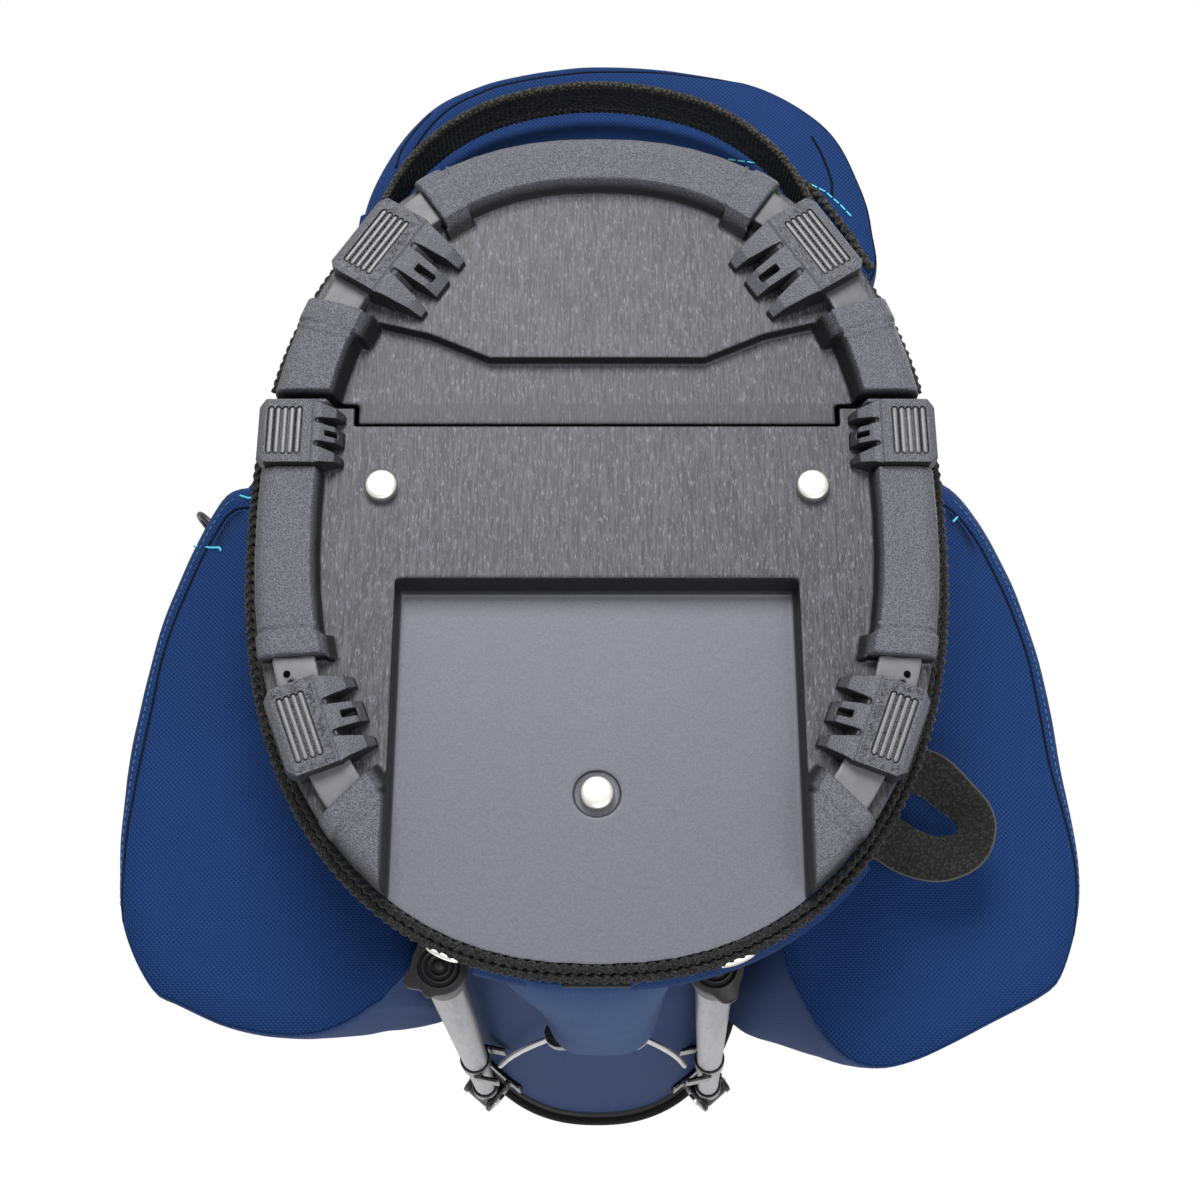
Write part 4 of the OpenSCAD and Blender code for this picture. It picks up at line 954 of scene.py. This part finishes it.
def flat_band(name, line, width, thick, up, slot_name, material, twist=None, rib=1.6, depth=0.12):
    """A strap of the bag along a line; twist(f) turns its width about the line, in radians."""
    step = 0.6
    line = even_steps(line, step)
    plain = band_section(width, thick, step, rib, depth)

    def section(i):
        turn = twist(i / (len(line) - 1)) if twist else 0
        return [(a * cos(turn) - b * sin(turn), a * sin(turn) + b * cos(turn))
                for a, b in plain(i)]
    return new_piece(name, *swept(line, section, up), "bag", slot_name, material)


knit = webbing_finish("knit_webbing", (0.006, 0.006, 0.0057), pitch=0.0010, sheen=0.15, light=4.5)
loop_line = even_steps(smooth_curve([(-109, -85, 50), (-117, -85, 55), (-127, -87, 60),
                                    (-135, -93, 63), (-142, -100, 64), (-143, -108, 63),
                                    (-138, -115, 63), (-128, -118, 63), (-117, -116, 60),
                                    (-108, -112, 55), (-100, -109, 50)]), 0.6)


def roll(f):
    """The loop's tape rolls in the bend, its outer edge towards the ground."""
    return radians(54) * max(0, 1 - abs(f - 0.5) / 0.32) ** 0.8


def selvedge(i):
    """A thin round section that keeps to the tape's outer edge."""
    turn = roll(i / (len(loop_line) - 1))
    return [(8.7 * cos(turn) + a, 8.7 * sin(turn) + b) for a, b in circle(0.45, 6)]


towel_loop = flat_band("towel_loop", loop_line, 17.5, 1.6, (0, -0.36, -0.93), "black_webbing", knit,
                       twist=roll, rib=1.5, depth=0.2)
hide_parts("webbing_loop")
edge_thread = polished("edge_thread", (0.05, 0.048, 0.045), 0.6, scale=900.0)
new_piece("towel_loop_edge", *swept(loop_line, selvedge, (0, -0.36, -0.93)), "bag",
          "black_webbing", edge_thread)

# the small ring is plain and round, and hangs on a short tab
ring_steps, wire_steps, ring_radius, wire_radius = 48, 14, 8, 1.5
middle = Vector((171, 45, 128))
facing = Matrix.Rotation(radians(45), 3, "Z") @ Matrix.Rotation(radians(90), 3, "X")
ring_points, ring_faces = [], []
for i, (along, over) in enumerate(circle(1, ring_steps)):
    for k, (out, up) in enumerate(circle(wire_radius, wire_steps)):
        spot = Vector(((ring_radius + out) * along, (ring_radius + out) * over, up))
        ring_points.append((facing @ spot + middle) * mm)
        here, beyond = i * wire_steps, (i + 1) % ring_steps * wire_steps
        n = (k + 1) % wire_steps
        ring_faces.append((here + k, here + n, beyond + n, beyond + k))
ring_black = polished("ring_black", (0.012, 0.012, 0.013), 0.32, scale=500.0)
ring = new_piece("small_ring", ring_points, ring_faces, "bag", "black_plastic", ring_black)
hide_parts("side_ring")
tab_line = [facing @ Vector((x, 0, 0)) + middle for x in (-19, -14, -9, -7.2)]
flat_band("ring_tab", tab_line, 9, 1.8, facing @ Vector((0, 0.02, 1)), "black_webbing",
          black_webbing)

# --------------------------------------------------------------------- legs
# Each leg is a drawn aluminium tube with a moulded head on a steel pin and a rubber
# foot. A forked nylon bracket under the collar holds the pin.

aluminium = polished("leg_aluminium", (0.26, 0.25, 0.27), 0.4, metal=0.85, streak=(1, 1, 0.02),
                     scale=700.0)
rubber = grained("foot_rubber", 0.005, 0.009, scale=420.0, depth=0.0003, rough=(0.42, 0.6))
wet_black = grained("bracket_plastic", 0.005, 0.009, scale=600.0, depth=0.0003, rough=(0.2, 0.32))
for word, hand, lobes_turn in (("right", 1, 28), ("left", -1, -62)):
    foot, pivot = feet[hand], pivots[hand]
    way = (foot - pivot).normalized()
    body_name = f"leg_{word}_body"
    length = (foot - pivot).length
    profile = [(6.3, 18), (6.3, 17.6), (7.2, 17.6), (7.5, 18.1), (7.5, length - 12),
               (7.2, length - 10.5), (6.3, length - 10.5)]
    leg = new_piece(f"leg_{word}_tube_skin", *turned(profile, pivot, way, 64), body_name,
                    "leg_aluminium", aluminium)
    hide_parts(f"leg_tube_{word}")
    # rubber foot: a sleeve, a lobed flange, and raised rings on its sole
    across, aside, along = basis(way)
    spin, around = radians(lobes_turn), 96
    # height, radius, and how much of the lobes shows
    levels = [(-36, 8.2, 0), (-35.4, 8.6, 0), (-20, 8.8, 0), (-8, 9.0, 0), (-6.2, 9.4, 0.5),
              (-5.4, 9.9, 1.0), (-3.2, 10.3, 1.0), (-1.2, 10.2, 1.0), (-0.4, 9.6, 0.8),
              (0.2, 8.8, 0.15), (0.9, 8.4, 0), (1.0, 7.8, 0), (-0.8, 7.3, 0), (-0.9, 6.6, 0),
              (0.9, 6.2, 0), (1.0, 5.6, 0), (-0.8, 5.1, 0), (-0.9, 4.5, 0), (0.8, 4.1, 0),
              (0.9, 3.5, 0), (-0.7, 3.0, 0), (-0.7, 2.2, 0), (0.9, 1.8, 0), (1.1, 0.8, 0),
              (1.1, 0.05, 0)]
    points = []
    for height, radius, lobes in levels:
        for i in range(around):
            t = 2 * pi * i / around
            wing = max(0, cos(2 * (t - spin))) ** 5 * 3.6 + max(0, cos(3 * (t - spin) + 1)) ** 6 * 1.6
            r = radius + wing * lobes
            points.append((foot + (across * cos(t) + aside * sin(t)) * r + along * height) * mm)
    # the sole's innermost row stays open
    sole = new_piece(f"leg_{word}_foot_skin", points, shell_faces(len(levels), around)[:-1],
                     body_name, "foot_rubber", rubber)
    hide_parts(f"leg_foot_{word}")
    for node, cell, target in ((f"leg_head_{word}", 0.7, body_name),
                               (f"wire_slot_{word}", 0.55, body_name),
                               (f"leg_bracket_{word}", 0.9, "bag")):
        mould(node, target, cell, 3, 0.5, wet_black)

# ---------------------------------------------------------- yoke and wires
# The push rod carries a nylon yoke. Two sprung steel wires lead from its sockets to
# the legs and bow slightly on their way.

mould("yoke", "actuator", 0.5, 3, 0.5, wet_black)
bright_steel = polished("bright_steel", (0.40, 0.39, 0.38), 0.25, metal=1.0, streak=(1, 1, 0.1),
                        scale=300.0)
ball = [(0.2, -3.9), (1.8, -3.5), (3.2, -2.3), (3.9, -0.8), (3.9, 0.8), (3.2, 2.3), (1.8, 3.5)]
for word, hand in (("right", 1), ("left", -1)):
    foot, pivot = feet[hand], pivots[hand]
    start = Vector((hand * 18, -160, 250))
    # the wire ends in the slot beside the tube, this far down the leg
    end = pivot + (foot - pivot).normalized() * 283 + Vector((-hand * 15, -3, 0))
    bow = Vector((hand * 3, -1, -9))
    line = smooth_curve([start, start.lerp(end, 0.33) + bow, start.lerp(end, 0.66) + bow, end])
    wire = tube(f"wire_{word}_skin", even_steps(line, 2.0), 1.55, f"spreader_{word}", "steel",
                bright_steel, sides=20)
    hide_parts(f"wire_{word}")
    new_piece(f"wire_{word}_ball", *turned(ball, start, (0, 0, 1), 32), f"spreader_{word}",
              "steel", bright_steel)

# -------------------------------------------------------------- nickel tabs
# Two small tabs of nickelled sheet are bent round the zip's lower edge, on the foot
# plate's rim in front. They swell in the middle and close at both ends.


def tab_section(i, last):
    """A flattened round that is widest halfway along the tab."""
    swell = 0.35 + 0.65 * sin(pi * min(1, max(0, i / last))) ** 0.6
    return [(1.2 * a, 1.7 * b) for a, b in circle(swell, 10)]


tab_parts = []
for first, last in ((-71.8, -66.6), (-111.2, -106)):
    path = even_path(round_base(5.9, 24.6), radians(first), radians(last), 0.5)
    tab_parts.append(swept(path, lambda i: tab_section(i, len(path) - 1), (0, 0, 1)))
tabs = new_piece("nickel_tabs", *join_parts(tab_parts), "foot_plate_body", "nickel", nickel)
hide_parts("foot_tabs")

# ------------------------------------------------------------ collar and mouth
# A moulded collar holds the mouth open, with a grab handle behind. Padded bars
# wrapped in soft cloth part it into four.

collar_black = grained("collar_plastic", 0.004, 0.008, scale=460.0, rough=(0.55, 0.7))
mould("top_collar", "bag", 1.4, 3, 0.35, collar_black)
# a bead of webbing covers the collar's lower edge
low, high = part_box("top_collar")
bead_half_w, bead_half_d = high.x / mm + 1.5, (high.y - low.y) / 2 / mm + 1.5
bead_y, bead_z = (high.y + low.y) / 2 / mm, low.z / mm + 9
bead_path = [Vector((*superellipse(bead_half_w, bead_half_d, base_power, turn), bead_z))
             + Vector((0, bead_y, 0)) for turn in even_numbers(0, 2 * pi, 240)]
tube("collar_bead", bead_path, 3.2, "bag", "black_cord", black_webbing, sides=12)
mould("collar_handle", "bag", 1.2, 8, 0.5, collar_black, "grab_handle_skin")
fleece = webbing_finish("divider_fabric", (0.014, 0.014, 0.015), pitch=0.0016, sheen=0.7)
bars = mould("collar_dividers", "bag", 1.3, 10, 0.5, fleece, "divider_pads")

# ------------------------------------------------------------- shoulder strap
# A padded strap of the body's cloth on black webbing, held by two ladder buckles. Its
# cushion is a sewn cover blown up round foam, and quilted across at even seams.


def body_rear(z):
    """How far behind the middle the body's rear face stands at a height."""
    return sum(level_at(body_levels, z)[1:])


strap_low, strap_high, off_body = 464, 822, 1.6
strap_path = [(0, body_rear(strap_low) + off_body, strap_low), (0, 168, 512), (0, 186, 590),
              (0, 188, 680), (0, 172, 758), (0, body_rear(strap_high) + off_body, strap_high)]
strap_line = smooth_curve(strap_path)
strap = flat_band("strap_band", strap_line, 38, 2.0, (0, 1, 0.2), "black_webbing", black_webbing,
                  rib=1.8, depth=0.2)
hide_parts("strap_webbing")
pad_step = 4
pad_line = even_steps(smooth_curve(strap_path[1:5]), pad_step)
pad_half_w, pad_half_t, pad_seams, pad_end = 29, 5.6, 6, 26
pad_outs, pad_rings = [], []
for i, spot in enumerate(pad_line):
    pad_outs.append(directions(pad_line, i, (0, 1, 0.2))[1])
    f = i / (len(pad_line) - 1)
    # it narrows towards both ends
    full = min(1, (min(f, 1 - f) * len(pad_line) * pad_step / pad_end)) ** 0.5
    ring = []
    for k in range(64):
        x, y = superellipse(pad_half_w * (0.55 + 0.45 * full), pad_half_t * (0.35 + 0.65 * full),
                            3.2, 2 * pi * k / 64)
        ring.append(tuple(spot + Vector((x, 0, 0)) + pad_outs[-1] * y))
    pad_rings.append(ring)
pad = ring_skin("strap_cushion", pad_rings, "bag", "navy_fabric", navy)
cap_mesh = bmesh.new()
cap_mesh.from_mesh(pad.data)
bmesh.ops.holes_fill(cap_mesh, edges=[e for e in cap_mesh.edges if e.is_boundary])
bmesh.ops.recalc_face_normals(cap_mesh, faces=cap_mesh.faces)
cap_mesh.to_mesh(pad.data)
cap_mesh.free()


def puff(piece, cell, pressure, most):
    """Blows a padded cover up as cloth; no point moves further than the most, in mm."""
    skin = piece.modifiers.new("skin", "REMESH")
    skin.mode = "VOXEL"
    skin.voxel_size = cell * mm
    settle(piece)
    starts = [vertex.co.copy() for vertex in piece.data.vertices]
    air = piece.modifiers.new("air", "CLOTH")
    air.settings.use_pressure = True
    air.settings.uniform_pressure_force = pressure
    air.settings.effector_weights.gravity = 0
    last_step = 20
    for step in range(1, last_step + 1):
        bpy.context.scene.frame_set(step)
    settle(piece)
    bpy.context.scene.frame_set(1)
    for vertex, start in zip(piece.data.vertices, starts):
        move = vertex.co - start
        vertex.co = start + move * min(1, most * mm / max(move.length, 1e-9))


def quilt(piece, line, outs, seams, share):
    """Draws a cushion in across its length at even seams, by a share of its thickness."""
    for vertex in piece.data.vertices:
        k = min(range(len(line)), key=lambda i: (line[i] * mm - vertex.co).length_squared)
        dip = share * (1 - abs(sin(pi * seams * k / (len(line) - 1))) ** 0.5)
        vertex.co -= outs[k] * (vertex.co - line[k] * mm).dot(outs[k]) * dip


def lay_cloth(piece):
    """Measures a cloth that lies upright by its width and height."""
    layer = piece.data.uv_layers.get("cloth") or piece.data.uv_layers.new(name="cloth")
    for loop in piece.data.loops:
        place = piece.data.vertices[loop.vertex_index].co
        layer.data[loop.index].uv = (place.x, place.z)


puff(pad, 5, 4, 5)
quilt(pad, pad_line, pad_outs, pad_seams, 0.22)
finer = pad.modifiers.new("finer", "SUBSURF")
finer.levels = 1
settle(pad)
lay_cloth(pad)
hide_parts("strap_pad")
mould("strap_buckles", "bag", 0.8, 3, 0.5, wet_black, "buckles")

# ---------------------------------------------------------------------- zips
# Each pocket closes with a coil zip on black tape, sewn in flush with its cloth. The
# slider is a small casting, and its pull hangs.

zip_metal = polished("zip_metal", (0.10, 0.10, 0.11), 0.3, metal=0.8, scale=600.0)
# how far each zip is let into its pocket's cloth
let_in = {"left": (8, 0), "right": (-6.6, 0), "rear": (-3, -4.2)}


def set_in(piece):
    """Moves a zip's points by what the nearest pocket asks."""
    for vertex in piece.data.vertices:
        side = "right" if vertex.co.x > 0 else "left"
        x, y = let_in["rear" if vertex.co.y > 0.15 else side]
        vertex.co += Vector((x, y, 0)) * mm


set_in(mould("pocket_zips", "bag", 0.8, 1, 0.4, black_cord, "zip_tapes"))
for word in ("left", "right", "rear"):
    set_in(mould(f"zip_slider_{word}", f"slider_{word}", 0.4, 2, 0.5, zip_metal,
                 f"zip_pull_{word}"))

bpy.context.scene.view_settings.view_transform = "Standard"
